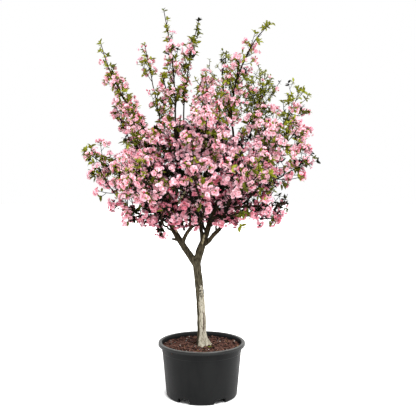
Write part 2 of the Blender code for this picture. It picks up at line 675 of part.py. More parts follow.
class Mass:
    """One mass of foliage while it grows: the placed pieces of its stem, twigs and sprays."""

    def __init__(self, branch, lines, shapes, obstacles):
        self.branch = branch
        self.rng = random.Random("mass " + branch.name)
        self.shapes = shapes
        self.obstacles = obstacles
        self.pieces = []
        centres, radii = lines[branch.name]
        self.onward = (centres[-1] - centres[-2]).normalized()
        self.foot = centres[-1] + self.onward * GAP
        self.start = self.foot + self.onward * STEM_COLLAR
        self.end = Vector(branch.end)
        self.radius = radii[-1] * STEM_FIT
        breadth = branch.reach / BROAD_REACH
        self.scale = min(1.0, SMALLEST_SCALE + (1 - SMALLEST_SCALE) * breadth)
        self.edge = max(1.0, breadth ** -2)
        self.marks = [self.curve_point(i / STEM_PARTS) for i in range(STEM_PARTS + 1)]

    def curve_point(self, share):
        """A point on the stem's curve, which sets out as its bough ends and then curls."""
        span = self.end - self.start
        curl = Vector((span.x, span.y, -span.z)) * self.branch.curl
        first = self.start + self.onward * span.length * STEM_SET_OUT
        second = self.start.lerp(self.end, STEM_CURL_AT) + curl
        marks = [self.start, first, second, self.end]
        while len(marks) > 1:
            marks = [a.lerp(b, share) for a, b in zip(marks, marks[1:])]
        return marks[0]

    def stem_parts(self):
        """The straight parts that make up the stem."""
        return list(zip(self.marks, self.marks[1:]))

    def stem_point(self, share):
        """A point inside the stem, and the stem's direction there."""
        part = min(STEM_PARTS - 1, int(share * STEM_PARTS))
        start, end = self.marks[part], self.marks[part + 1]
        return start.lerp(end, share * STEM_PARTS - part), (end - start).normalized()

    def add(self, kind, matrix):
        self.pieces.append((kind, matrix))

    def grow_stem(self):
        """The stem: a collar square to its bough's tip, then parts that follow the curve."""
        collar = STEM_COLLAR + STEM_OVERLAP
        self.add("twig", pose(self.foot, self.onward, 0.0, (self.radius, self.radius, collar)))
        radius = self.radius * STEM_JOINT
        for index, (a, b) in enumerate(self.stem_parts()):
            way = (b - a).normalized()
            root = a - way * STEM_OVERLAP
            length = (b - root).length
            self.add("twig", pose(root, way, STEM_ROLL * (index + 1), (radius, radius, length)))
            radius *= STEM_TAPER * STEM_SWELL

    def radius_at(self, share):
        return self.radius * STEM_TAPER ** (share * STEM_PARTS)

    def grow_twig(self, share, turn):
        """A twig from the stem with sprays along it, where it has room."""
        root, axis = self.stem_point(share)
        way = side_way(axis, turn, TWIG_LEAN)
        room = reach_at(self.branch, share) - TWIG_TIP_ROOM
        length = room / math.sin(TWIG_LEAN) * self.rng.uniform(*TWIG_LENGTHS)
        while length > SHORTEST_TWIG:
            tip = root + way * length
            clear = twig_clear(root + way * TWIG_ROOT, tip, TWIG_ROOM, self.obstacles)
            if clear and in_own_space([tip, root.lerp(tip, 0.5)], self.branch):
                break
            length -= TWIG_STEP
        if length <= SHORTEST_TWIG:
            return self.grow_spray(root, axis, turn, TWIG_LEAN)
        radius = self.radius_at(share) * TWIG_SHARE
        self.add("twig", pose(root, way, turn, (radius, radius, length)))
        count = max(1, round(length / SPRAY_SPACING))
        for index in range(1, count):
            spray_root = root + way * length * (index / count + TWIG_SPRAY_ONWARD)
            self.grow_spray(spray_root, way, turn + GOLDEN_TURN * index, SPRAY_LEAN)
        self.grow_spray(tip - way * TIP_SINK, way, turn, TIP_LEAN, at_tip=True)

    def grow_spray(self, root, axis, turn, lean, at_tip=False):
        """A spray of blossom or leaf, turned on until it has room, or else skipped."""
        edge = TIP_EDGE * self.edge if at_tip else self.edge
        blossom = self.rng.random() < self.branch.blossom or at_tip
        kind = "blossom" if blossom else "leaf"
        length = BLOSSOM_HEIGHT if blossom else LEAF_LENGTH
        length *= self.scale * self.rng.uniform(*SPRAY_SIZES)
        for attempt in range(SPRAY_TRIES):
            way = side_way(axis, turn + attempt * GOLDEN_TURN, lean)
            way = (way + Vector((0.0, 0.0, SPRAY_LIFT))).normalized()
            matrix = pose(root, way, turn, (length, length, length))
            corners = [matrix @ vert.co for vert in self.shapes[kind].vertices]
            clear = spray_clear(root, way, kind, length, self.obstacles)
            if clear and in_own_space(corners, self.branch, edge):
                self.add(kind, matrix)
                return
            length *= SPRAY_SHRINK

    def grow(self):
        self.grow_stem()
        turn = self.rng.uniform(0.0, math.tau)
        first, span = TWIGS_ALONG
        for index in range(self.branch.twigs):
            share = first + span * index / (self.branch.twigs - 1)
            self.grow_twig(share, turn + GOLDEN_TURN * index)
        length = (self.end - self.start).length
        sprays = max(2, round(STEM_SPRAYS * length / SPRAY_SPACING / self.scale ** 2))
        first, span = STEM_SPRAYS_ALONG
        for index in range(sprays):
            root, axis = self.stem_point(first + span * (index + 0.5) / sprays)
            self.grow_spray(root, axis, turn + STEM_SPRAYS_TURN + GOLDEN_TURN * index, SPRAY_LEAN)
        root, axis = self.stem_point(1.0)
        self.grow_spray(root - axis * TIP_SINK, axis, turn, TIP_LEAN, at_tip=True)


def whole_body(mesh):
    """Keeps the largest closed surface: a sealed hollow is filled and a loose scrap dropped."""
    bm = bmesh.new()
    bm.from_mesh(mesh)
    bmesh.ops.triangulate(bm, faces=bm.faces)
    left, islands = set(bm.verts), []
    while left:
        island, front = set(), [left.pop()]
        while front:
            vert = front.pop()
            island.add(vert)
            for edge in vert.link_edges:
                other = edge.other_vert(vert)
                if other in left:
                    left.remove(other)
                    front.append(other)
        islands.append(island)
    islands.sort(key=len)
    loose = [vert for island in islands[:-1] for vert in island]
    bmesh.ops.delete(bm, geom=loose, context="VERTS")
    bmesh.ops.recalc_face_normals(bm, faces=bm.faces)
    bm.to_mesh(mesh)
    bm.free()


def fuse(mass, collection, material):
    """One Boolean union of all the pieces. MANIFOLD, because EXACT is slow on so many."""
    pile = make_collection("pieces")
    made = []
    for kind, matrix in mass.pieces:
        item = bpy.data.objects.new(kind, mass.shapes[kind])
        item.matrix_world = matrix
        made.append(item)
    base, others = made[0], made[1:]
    bpy.context.scene.collection.objects.link(base)
    for item in others:
        pile.objects.link(item)
    union = base.modifiers.new("fuse", "BOOLEAN")
    union.operation = "UNION"
    union.operand_type = "COLLECTION"
    union.collection = pile
    union.solver = "MANIFOLD"
    mesh = evaluated_mesh(base)
    mesh.transform(base.matrix_world)
    for item in made:
        bpy.data.objects.remove(item, do_unlink=True)
    bpy.data.collections.remove(pile)
    whole_body(mesh)
    mesh.materials.clear()
    return add_object(mass.branch.name + "_mass", mesh, collection, material)


def make_foliage(lines, collection, materials):
    shapes = unit_shapes()
    masses = [Mass(branch, lines, shapes, None) for branch in BRANCHES]
    limbs = limb_parts(lines)
    for mass in masses:
        stems = [
            (a, b, other.radius) for other in masses if other is not mass for a, b in other.stem_parts()
        ]
        mass.obstacles = limbs + stems
        mass.grow()
        green = mass.branch.blossom < GREEN_BELOW
        fuse(mass, collection, materials["leaf" if green else "blossom"])
    for shape in shapes.values():
        bpy.data.meshes.remove(shape)


def make_materials():
    return {
        "pot": make_material("black plastic", POT_BLACK, 0.45),
        "soil": make_material("bark compost", SOIL_BROWN, 0.95),
        "trunk": make_material("pale trunk bark", TRUNK_CREAM, 0.85),
        "bark": make_material("dark bark", BARK_BROWN, 0.85),
        "blossom": make_material("pink blossom", BLOSSOM_PINK, 0.6),
        "leaf": make_material("green leaf", LEAF_GREEN, 0.55),
    }


def main():
    clear_scene()
    collection = make_collection("potted crabapple")
    materials = make_materials()
    make_pot(collection, materials)
    make_soil(collection, materials)
    lines = {"trunk": trunk_line()}
    for branch in BRANCHES:
        lines[branch.name] = bough_line(branch, lines)
    make_trunk(lines, collection, materials)
    make_boughs(lines, collection, materials)
    make_foliage(lines, collection, materials)


main()
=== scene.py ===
# %% [markdown]
# # A young crabapple in blossom, in its nursery pot
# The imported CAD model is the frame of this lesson. It gives the real sizes, the place of every
# limb and the space of every mass of foliage. Each step below looks at one part of the real
# plant, says how it could be made, and then makes it over the plain solid that stands for it.

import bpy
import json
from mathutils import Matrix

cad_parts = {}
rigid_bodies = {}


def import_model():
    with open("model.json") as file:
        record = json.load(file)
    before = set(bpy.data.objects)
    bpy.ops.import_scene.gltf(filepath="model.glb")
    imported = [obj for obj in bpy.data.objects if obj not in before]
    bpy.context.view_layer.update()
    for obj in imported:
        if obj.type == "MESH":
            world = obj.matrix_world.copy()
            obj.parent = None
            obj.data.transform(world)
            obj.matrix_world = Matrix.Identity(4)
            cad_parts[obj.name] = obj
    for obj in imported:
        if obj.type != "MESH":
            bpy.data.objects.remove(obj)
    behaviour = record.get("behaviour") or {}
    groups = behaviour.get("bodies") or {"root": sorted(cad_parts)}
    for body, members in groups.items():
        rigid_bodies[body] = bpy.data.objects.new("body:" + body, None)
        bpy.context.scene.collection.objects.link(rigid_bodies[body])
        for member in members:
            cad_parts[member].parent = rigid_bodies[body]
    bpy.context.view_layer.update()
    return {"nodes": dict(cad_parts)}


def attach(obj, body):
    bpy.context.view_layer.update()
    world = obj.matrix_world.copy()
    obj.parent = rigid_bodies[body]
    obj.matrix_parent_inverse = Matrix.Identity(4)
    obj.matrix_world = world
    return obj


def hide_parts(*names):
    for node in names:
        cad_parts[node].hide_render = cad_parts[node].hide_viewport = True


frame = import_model()
print("CAD nodes:", len(frame["nodes"]))

# %% What the lesson uses
import json
import math
import random
from collections import namedtuple

import bmesh
import bpy
import numpy as np
from mathutils import Matrix, Vector, noise

UP = Vector((0.0, 0.0, 1.0))
GOLDEN_TURN = math.radians(137.5)
scene = bpy.context.scene

# %% [markdown]
# ## Camera, light and floor
# The photo looks level at the tree from just over three metres away, at the height of the
# middle of the crown. The frame was then moved down a little, which is a lens shift: tilting
# the camera would make upright lines lean together. The plant stands before plain white, so a
# white world lights it from all sides, and a large soft light from above gives the blossom its
# pale tops and dark hollows.

# %% Camera
PHOTO_WIDTH = 416
FOCAL_PIXELS = 616
SENSOR_WIDTH = 36.0
CAMERA_PLACE = Vector((0.0, -3.2, 1.0885))
FRAME_SHIFT = (0.015, -0.058)

camera = bpy.data.objects.new("camera", bpy.data.cameras.new("camera"))
camera.data.sensor_width = SENSOR_WIDTH
camera.data.lens = SENSOR_WIDTH * FOCAL_PIXELS / PHOTO_WIDTH
camera.data.shift_x, camera.data.shift_y = FRAME_SHIFT
camera.location = CAMERA_PLACE
camera.rotation_euler = (math.radians(90), 0.0, 0.0)
scene.collection.objects.link(camera)
scene.camera = camera
print("lens in mm:", round(camera.data.lens, 1))

# %% Light
WORLD_LIGHT = 0.90
WORLD_SEEN = 1.0
SUN_STRENGTH = 3.6
SUN_SPREAD = math.radians(34)
SUN_FROM = Vector((1.0, -1.8, 2.8))


def large_soft_light():
    """A sun with a wide disc, as a lamp behind a large cloth: it lights the whole floor alike."""
    lamp = bpy.data.lights.new("key light", "SUN")
    lamp.energy = SUN_STRENGTH
    lamp.angle = SUN_SPREAD
    made = bpy.data.objects.new("key light", lamp)
    made.location = SUN_FROM
    made.rotation_euler = (-SUN_FROM).to_track_quat("-Z", "Y").to_euler()
    scene.collection.objects.link(made)


def white_studio():
    """A world that the camera sees as plain white, and that lights the plant more softly."""
    made = bpy.data.worlds.new("white studio")
    made.use_nodes = True
    nodes, links = made.node_tree.nodes, made.node_tree.links
    lighting, seen = nodes["Background"], nodes.new("ShaderNodeBackground")
    for background, strength in ((lighting, WORLD_LIGHT), (seen, WORLD_SEEN)):
        background.inputs["Color"].default_value = (1.0, 1.0, 1.0, 1.0)
        background.inputs["Strength"].default_value = strength
    either = nodes.new("ShaderNodeMixShader")
    links.new(nodes.new("ShaderNodeLightPath").outputs["Is Camera Ray"], either.inputs[0])
    links.new(lighting.outputs[0], either.inputs[1])
    links.new(seen.outputs[0], either.inputs[2])
    links.new(either.outputs[0], nodes["World Output"].inputs["Surface"])
    return made


large_soft_light()
scene.world = white_studio()
scene.view_settings.view_transform = "Standard"
print("one soft light and a white world")

# %% [markdown]
# ## Shader groups
# Plastic, bark, compost and petals all vary over their surface. Two effects return in every
# material, so each is a node group, built once: *mottling* gives a soft mask between two
# limits, and *fine relief* turns noise into a bumped normal.

# %% Small helpers for node trees
def paint(red, green, blue):
    """A linear colour from the 0 to 255 values that a picture shows."""
    shares = [value / 255 for value in (red, green, blue)]
    return (*[((s + 0.055) / 1.055) ** 2.4 if s > 0.04 else s / 12.92 for s in shares], 1.0)


def put(tree, kind, inputs=None, **settings):
    """A new node with its settings, and its inputs linked or set by name."""
    made = tree.nodes.new(kind)
    for key, value in settings.items():
        setattr(made, key, value)
    for key, value in (inputs or {}).items():
        if isinstance(value, bpy.types.NodeSocket):
            tree.links.new(value, made.inputs[key])
        else:
            made.inputs[key].default_value = value
    return made


def blend_of(tree, share, first, second):
    """The colour between two colours, each a socket or a plain colour."""
    made = tree.nodes.new("ShaderNodeMix")
    made.data_type = "RGBA"
    for socket, value in zip((made.inputs[0], made.inputs[6], made.inputs[7]), (share, first, second)):
        if isinstance(value, bpy.types.NodeSocket):
            tree.links.new(value, socket)
        else:
            socket.default_value = value
    return made.outputs[2]


def sum_of(tree, operation, first, second):
    """One step of arithmetic on values or sockets."""
    return put(tree, "ShaderNodeMath", {0: first, 1: second}, operation=operation).outputs[0]


def ramp_between(tree, value, low, high):
    """0 below low and 1 above high, with a soft step between."""
    made = put(tree, "ShaderNodeMapRange", {"Value": value, "From Min": low, "From Max": high},
               interpolation_type="SMOOTHSTEP")
    return made.outputs["Result"]


# %% The two shared groups
CLOUD_DETAIL = 5.0
CLOUD_ROUGHNESS = 0.6
GRAIN_DETAIL = 6.0
GLOSS = 0.10


def new_group(name, inputs, output, kind):
    """An empty group with its inputs and one output, and the two nodes that stand for them."""
    group = bpy.data.node_groups.new(name, "ShaderNodeTree")
    for title, socket_kind, value in inputs:
        socket = group.interface.new_socket(name=title, in_out="INPUT", socket_type=socket_kind)
        if value is not None:
            socket.default_value = value
    group.interface.new_socket(name=output, in_out="OUTPUT", socket_type=kind)
    return group, group.nodes.new("NodeGroupInput"), group.nodes.new("NodeGroupOutput")


def make_mottling():
    group, given, result = new_group(
        "mottling",
        [("Vector", "NodeSocketVector", None), ("Scale", "NodeSocketFloat", 20.0),
         ("Low", "NodeSocketFloat", 0.4), ("High", "NodeSocketFloat", 0.6)],
        "Mask", "NodeSocketFloat")
    cloud = put(group, "ShaderNodeTexNoise", {
        "Vector": given.outputs["Vector"], "Scale": given.outputs["Scale"],
        "Detail": CLOUD_DETAIL, "Roughness": CLOUD_ROUGHNESS})
    mask = ramp_between(group, cloud.outputs[0], given.outputs["Low"], given.outputs["High"])
    group.links.new(mask, result.inputs["Mask"])
    return group


def make_fine_relief():
    group, given, result = new_group(
        "fine relief",
        [("Vector", "NodeSocketVector", None), ("Scale", "NodeSocketFloat", 200.0),
         ("Depth", "NodeSocketFloat", 0.001)],
        "Normal", "NodeSocketVector")
    grain = put(group, "ShaderNodeTexNoise", {
        "Vector": given.outputs["Vector"], "Scale": given.outputs["Scale"], "Detail": GRAIN_DETAIL})
    bump = put(group, "ShaderNodeBump", {
        "Height": grain.outputs[0], "Distance": given.outputs["Depth"], "Strength": 1.0})
    group.links.new(bump.outputs[0], result.inputs["Normal"])
    return group


MOTTLING = make_mottling()
FINE_RELIEF = make_fine_relief()


def mottled(tree, vector, scale, low, high):
    """A mask of soft patches: their scale, and the noise between which it goes from 0 to 1."""
    made = put(tree, "ShaderNodeGroup", node_tree=MOTTLING)
    tree.links.new(vector, made.inputs["Vector"])
    for title, value in (("Scale", scale), ("Low", low), ("High", high)):
        made.inputs[title].default_value = value
    return made.outputs["Mask"]


def relief(tree, vector, scale, depth):
    """A bumped normal, from grain of this scale and depth."""
    made = put(tree, "ShaderNodeGroup", node_tree=FINE_RELIEF)
    tree.links.new(vector, made.inputs["Vector"])
    made.inputs["Scale"].default_value = scale
    made.inputs["Depth"].default_value = depth
    return made.outputs["Normal"]


def new_finish(name, gloss=GLOSS):
    """A material, its tree, its main shader and the surface's own coordinates."""
    made = bpy.data.materials.new(name)
    made.use_nodes = True
    tree = made.node_tree
    tree.nodes["Principled BSDF"].inputs["Specular IOR Level"].default_value = gloss
    place = tree.nodes.new("ShaderNodeTexCoord").outputs["Object"]
    return made, tree, tree.nodes["Principled BSDF"], place


def stretched(tree, place, scale):
    """The coordinates squeezed or drawn out along each axis."""
    return put(tree, "ShaderNodeMapping", {"Vector": place, "Scale": scale}).outputs["Vector"]


print("groups:", MOTTLING.name, "and", FINE_RELIEF.name)

# %% [markdown]
# ### Floor
# A photo like this is cut out on white. The floor is a wide pale disc that still takes a soft
# shadow from the pot. To the camera alone it glows a little, so it meets the white world without
# a line. Right under the pot it doesn't, because there the notches look at it in the dark.

# %% Floor
FLOOR_RADIUS = 30.0
FLOOR_SIDES = 64
FLOOR_PALE = paint(246, 246, 245)
FLOOR_WHITE = paint(250, 250, 250)
FLOOR_PATCHES = (3.0, 0.2, 0.8)
FLOOR_GLOW = 0.60
UNDER_POT = (0.170, 0.215)


def floor_finish():
    """Nearly white with faint patches, and a glow for the camera alone, away from the pot."""
    made, tree, shader, place = new_finish("pale floor")
    shade = mottled(tree, place, *FLOOR_PATCHES)
    tree.links.new(blend_of(tree, shade, FLOOR_PALE, FLOOR_WHITE), shader.inputs["Base Color"])
    shader.inputs["Roughness"].default_value = 0.9
    shader.inputs["Emission Color"].default_value = (1.0, 1.0, 1.0, 1.0)
    seen = put(tree, "ShaderNodeLightPath").outputs["Is Camera Ray"]
    away = put(tree, "ShaderNodeVectorMath", {0: place}, operation="LENGTH").outputs["Value"]
    open_floor = ramp_between(tree, away, *UNDER_POT)
    glow = sum_of(tree, "MULTIPLY", sum_of(tree, "MULTIPLY", seen, open_floor), FLOOR_GLOW)
    tree.links.new(glow, shader.inputs["Emission Strength"])
    return made


floor_bm = bmesh.new()
bmesh.ops.create_circle(floor_bm, cap_ends=True, segments=FLOOR_SIDES, radius=FLOOR_RADIUS)
floor_mesh = bpy.data.meshes.new("floor")
floor_bm.to_mesh(floor_mesh)
floor_bm.free()
floor = bpy.data.objects.new("floor", floor_mesh)
floor.data.materials.append(floor_finish())
scene.collection.objects.link(floor)
print("floor radius:", FLOOR_RADIUS)

# %% [markdown]
# ## Finished pieces
# Every piece ends the same way: its mesh becomes an object at the origin, takes its finish,
# rides on the one body and hides the CAD nodes it stands for.

# %% A piece of the plant
def finish_piece(name, mesh, material, nodes=()):
    """An object from a mesh, with its finish and its body; it hides the nodes it stands for."""
    made = bpy.data.objects.new(name, mesh)
    scene.collection.objects.link(made)
    mesh.materials.clear()
    mesh.materials.append(material)
    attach(made, "root")
    if nodes:
        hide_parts(*nodes)
    mesh.calc_loop_triangles()
    print(f"{name}: {len(mesh.loop_triangles)} triangles")
    return made


def mesh_from(bm, name):
    mesh = bpy.data.meshes.new(name)
    bm.to_mesh(mesh)
    bm.free()
    return mesh


def applied(mesh, modifiers):
    """The mesh after its modifiers, each given as a kind and its settings."""
    item = bpy.data.objects.new("work", mesh)
    scene.collection.objects.link(item)
    for kind, settings in modifiers:
        modifier = item.modifiers.new(kind.lower(), kind)
        for key, value in settings.items():
            setattr(modifier, key, value)
    bpy.context.view_layer.update()
    graph = bpy.context.evaluated_depsgraph_get()
    result = bpy.data.meshes.new_from_object(item.evaluated_get(graph))
    bpy.data.objects.remove(item, do_unlink=True)
    return result


# %% [markdown]
# ## The nursery pot
# The real pot is injection moulded in black plastic: a wall that narrows downwards, a step near
# the top, a rolled lip, and a low ring underneath that notches part into six feet. It could be
# lofted from stacked rings. A moulded pot is a turned shape, though, so its section is drawn as
# a line of corners, the corners are rounded by a bevel, and the line is spun about the middle.
# The notches and drain holes are cut afterwards.

# %% Section of the pot
POT_HEIGHT = 0.272
RIM_RADIUS = 0.225
WALL_TOP_RADIUS = 0.2065
WALL_FOOT_RADIUS = 0.183
WALL = 0.003
LIP_DEPTH = 0.016
BAND_DEPTH = 0.031
BAND_STEP = 0.002
FOOT_HEIGHT = 0.027
FOOT_WIDTH = 0.017
FOOT_CORNER = 0.006
POT_STEPS = 144
ROUNDING_STEPS = 3
SEAM = 1e-5


def wall_radius(height):
    rise = height / (POT_HEIGHT - LIP_DEPTH)
    return WALL_FOOT_RADIUS + (WALL_TOP_RADIUS - WALL_FOOT_RADIUS) * rise


def pot_section():
    """Corners of the half section, each with the radius that rounds it."""
    top, under_lip = POT_HEIGHT, POT_HEIGHT - LIP_DEPTH
    step = under_lip - BAND_DEPTH
    floor_top = FOOT_HEIGHT + WALL
    ring = WALL_FOOT_RADIUS - FOOT_CORNER
    return [
        ((0.0, floor_top), 0.0),
        ((wall_radius(floor_top) - WALL, floor_top), 0.006),
        ((wall_radius(step) - WALL, step - BAND_STEP), 0.001),
        ((wall_radius(step) + BAND_STEP - WALL, step + BAND_STEP), 0.001),
        ((wall_radius(top) + BAND_STEP - WALL, top), 0.0025),
        ((RIM_RADIUS, top), 0.0045),
        ((RIM_RADIUS, under_lip), 0.0012),
        ((RIM_RADIUS - WALL, under_lip), 0.0012),
        ((RIM_RADIUS - WALL, top - WALL), 0.003),
        ((wall_radius(top) + BAND_STEP, top - WALL), 0.002),
        ((wall_radius(step) + BAND_STEP, step), 0.0015),
        ((wall_radius(step), step - BAND_STEP), 0.0015),
        ((WALL_FOOT_RADIUS, FOOT_CORNER * 0.9), 0.005),
        ((ring, 0.0), 0.002),
        ((ring - FOOT_WIDTH, 0.0), 0.002),
        ((ring - FOOT_WIDTH, FOOT_HEIGHT), 0.002),
        ((0.0, FOOT_HEIGHT), 0.0),
    ]


def spun(section, steps):
    """A closed shape spun from a section of corners, each rounded by its own radius."""
    bm = bmesh.new()
    corners = [bm.verts.new((radius, 0.0, height)) for (radius, height), _ in section]
    for first, second in zip(corners, corners[1:]):
        bm.edges.new((first, second))
    for corner, (_, rounding) in zip(corners, section):
        if rounding:
            bmesh.ops.bevel(bm, geom=[corner], offset=rounding, offset_type="OFFSET",
                            segments=ROUNDING_STEPS, profile=0.5, affect="VERTICES", material=-1)
    bmesh.ops.spin(bm, geom=bm.verts[:] + bm.edges[:], cent=(0, 0, 0), axis=(0, 0, 1),
                   angle=math.tau, steps=steps, use_merge=True)
    bmesh.ops.remove_doubles(bm, verts=bm.verts, dist=SEAM)
    bmesh.ops.recalc_face_normals(bm, faces=bm.faces)
    return bm


# %% Notches and drain holes
NOTCHES = 6
NOTCH_WIDTH = 0.066
NOTCH_HEIGHT = 0.024
NOTCH_REACH = 0.060
NOTCH_CHAMFER = 0.007
DRAIN_RADIUS = 0.008
DRAIN_CIRCLE = 0.130
DRAIN_SIDES = 20
SHARP_FROM = math.radians(32)


def upper_edges(block):
    """The two upper edges of a block that run along it."""
    edges = dict.fromkeys(edge for vert in block for edge in vert.link_edges)
    return [edge for edge in edges if all(vert.co.z > 0 for vert in edge.verts)
            and abs(edge.verts[0].co.y - edge.verts[1].co.y) < SEAM]


def pot_cutters():
    """Six blocks with their upper edges taken off, and seven rods."""
    bm = bmesh.new()
    for index in range(NOTCHES):
        block = bmesh.ops.create_cube(bm, size=1.0)["verts"]
        bmesh.ops.scale(bm, vec=(NOTCH_REACH, NOTCH_WIDTH, 2 * NOTCH_HEIGHT), verts=block)
        bevelled = bmesh.ops.bevel(bm, geom=upper_edges(block), offset=NOTCH_CHAMFER, segments=2,
                                   offset_type="OFFSET", profile=0.5, affect="EDGES", material=-1)
        block = [vert for vert in block if vert.is_valid]
        block = list(dict.fromkeys(block + [vert for face in bevelled["faces"] for vert in face.verts]))
        turn = math.tau * index / NOTCHES
        outwards = Matrix.Translation((WALL_FOOT_RADIUS - FOOT_CORNER, 0, 0))
        place = Matrix.Rotation(turn, 4, "Z") @ outwards
        bmesh.ops.transform(bm, matrix=place, verts=block)
    for index in range(NOTCHES + 1):
        out = DRAIN_CIRCLE if index < NOTCHES else 0.0
        turn = math.tau * index / NOTCHES
        place = Matrix.Translation((out * math.cos(turn), out * math.sin(turn), FOOT_HEIGHT))
        bmesh.ops.create_cone(bm, cap_ends=True, segments=DRAIN_SIDES, radius1=DRAIN_RADIUS,
                              radius2=DRAIN_RADIUS, depth=4 * WALL, matrix=place)
    bmesh.ops.recalc_face_normals(bm, faces=bm.faces)
    return bm


cutter = bpy.data.objects.new("pot cutter", mesh_from(pot_cutters(), "pot cutter"))
scene.collection.objects.link(cutter)
pot_mesh = applied(mesh_from(spun(pot_section(), POT_STEPS), "pot"),
                   [("BOOLEAN", {"operation": "DIFFERENCE", "object": cutter, "solver": "EXACT"})])
bpy.data.objects.remove(cutter, do_unlink=True)
pot_mesh.shade_smooth()
pot_mesh.set_sharp_from_angle(angle=SHARP_FROM)
print("pot corners:", len(pot_mesh.vertices))

# %% [markdown]
# ### Black plastic
# Recycled black plastic is a soft charcoal grey with cloudy flow marks from the mould, pale
# scuffs on the wall, a pale line along the lip's crest that is partly wear and partly a painted
# highlight, and a satin gloss that mirrors the white studio at its sides.

# %% Finish of the pot
PLASTIC_DARK = paint(15, 16, 17)
PLASTIC_GREY = paint(24, 25, 25)
PLASTIC_SCUFF = paint(60, 60, 57)
# pale crest of the lip: partly wear, partly a painted highlight that runs all round
LIP_WEAR_AND_HIGHLIGHT = paint(76, 76, 73)
LIP_SHEEN = 0.4
LIP_ROUGHNESS = 0.3
POT_ROUGHNESS = (0.36, 0.52)
POT_GLOSS = 0.12
FLOW_STRETCH = (1.0, 1.0, 0.35)
FLOW_MARKS = (14.0, 0.3, 0.7)
SCUFF_STRETCH = (1.0, 1.0, 2.2)
SCUFFS = (60.0, 0.66, 0.78)
SCUFF_SHARE = 0.45
CREST = (POT_HEIGHT - 0.0024, POT_HEIGHT - 0.0004)
CREST_WEAR_AND_HIGHLIGHT_PATCHES = (40.0, 0.15, 0.60)
SHEEN_RISE = (POT_HEIGHT - LIP_DEPTH, POT_HEIGHT - 0.6 * LIP_DEPTH)
PLASTIC_GRAIN = (420.0, 0.0004)


def pot_finish():
    made, tree, shader, place = new_finish("black nursery plastic", POT_GLOSS)
    flow = mottled(tree, stretched(tree, place, FLOW_STRETCH), *FLOW_MARKS)
    colour = blend_of(tree, flow, PLASTIC_DARK, PLASTIC_GREY)
    scuff = mottled(tree, stretched(tree, place, SCUFF_STRETCH), *SCUFFS)
    faint = sum_of(tree, "MULTIPLY", scuff, SCUFF_SHARE)
    colour = blend_of(tree, faint, colour, PLASTIC_SCUFF)
    height = put(tree, "ShaderNodeSeparateXYZ", {0: place}).outputs[2]
    crest = ramp_between(tree, height, *CREST)
    # painted highlight along the lip's crest, in patches, mixed with wear
    wear_and_highlight = sum_of(tree, "MULTIPLY", crest, mottled(tree, place, *CREST_WEAR_AND_HIGHLIGHT_PATCHES))
    tree.links.new(blend_of(tree, wear_and_highlight, colour, LIP_WEAR_AND_HIGHLIGHT), shader.inputs["Base Color"])
    lip = ramp_between(tree, height, *SHEEN_RISE)
    tree.links.new(sum_of(tree, "MULTIPLY", lip, LIP_SHEEN), shader.inputs["Coat Weight"])
    shader.inputs["Coat Roughness"].default_value = LIP_ROUGHNESS
    smooth, matt = POT_ROUGHNESS
    rough = put(tree, "ShaderNodeMapRange", {"Value": flow, "To Min": smooth, "To Max": matt})
    tree.links.new(rough.outputs[0], shader.inputs["Roughness"])
    tree.links.new(relief(tree, place, *PLASTIC_GRAIN), shader.inputs["Normal"])
    return made


finish_piece("nursery_pot", pot_mesh, pot_finish(), ["pot"])

# %% [markdown]
# ## The compost
# Nursery compost is reddish chipped bark with dark gaps, a few white grains of perlite and here
# and there a straw-coloured splinter. A displaced surface alone looks like mud. So the bed is
# a turned disc, ruffled by noise, and chips are strewn on it. Each chip is a cube with pinched
# ends, and all of them are joined from arrays into one mesh, because that many separate objects
# would be slow.

# %% Bed of the compost
SOIL_LEVEL = 0.250
SOIL_FALL = 0.004
SOIL_FLAT_RADIUS = 0.060
SOIL_GAP = 0.0006
SOIL_RINGS = 34
SOIL_RUFFLE = 0.0045
LUMPS, SMALL_LUMPS = 70, 160
SMALL_LUMP_SHARE = 0.6
LUMPS_SINK = 0.25
SMOOTH_EDGE = 0.001


def soil_radius(height):
    band = BAND_STEP if height > POT_HEIGHT - LIP_DEPTH - BAND_DEPTH else 0.0
    return wall_radius(height) + band - WALL - SOIL_GAP


def soil_height(place):
    """Level of the compost at a place, without its lumps."""
    out = math.hypot(place[0], place[1])
    edge = soil_radius(SOIL_LEVEL)
    return SOIL_LEVEL - SOIL_FALL * max(0.0, out - SOIL_FLAT_RADIUS) / (edge - SOIL_FLAT_RADIUS)


def compost_bed():
    edge = soil_radius(SOIL_LEVEL)
    floor_level = FOOT_HEIGHT + WALL + SOIL_GAP
    step = POT_HEIGHT - LIP_DEPTH - BAND_DEPTH
    section = [((edge * i / SOIL_RINGS, soil_height((edge * i / SOIL_RINGS, 0.0))), 0.0)
               for i in range(SOIL_RINGS + 1)]
    section += [((soil_radius(step + 2 * BAND_STEP), step + 2 * BAND_STEP), 0.0),
                ((soil_radius(step - 2 * BAND_STEP), step - 2 * BAND_STEP), 0.0),
                ((soil_radius(floor_level) - FOOT_CORNER, floor_level), 0.0), ((0.0, floor_level), 0.0)]
    bm = spun(section, POT_STEPS)
    for vert in bm.verts:
        if vert.co.z > SOIL_LEVEL - 2 * SOIL_FALL and vert.co.xy.length < edge - SMOOTH_EDGE:
            small = SMALL_LUMP_SHARE * noise.noise(vert.co * SMALL_LUMPS)
            vert.co.z += SOIL_RUFFLE * (noise.noise(vert.co * LUMPS) + small - LUMPS_SINK)
    return bm


# %% Many small things as one mesh
TINY = 1e-9
STEEP = 0.98


def unit_from(bm, value_of=None):
    """Points and triangles of a small shape, with a value for each point if one is asked for."""
    bmesh.ops.triangulate(bm, faces=bm.faces)
    points = np.array([vert.co[:] for vert in bm.verts])
    faces = np.array([[vert.index for vert in face.verts] for face in bm.faces])
    values = np.array([value_of(vert) if value_of else 0.0 for vert in bm.verts])
    bm.free()
    return points, faces, values


def unit_vectors(vectors):
    return vectors / np.maximum(np.linalg.norm(vectors, axis=1, keepdims=True), TINY)


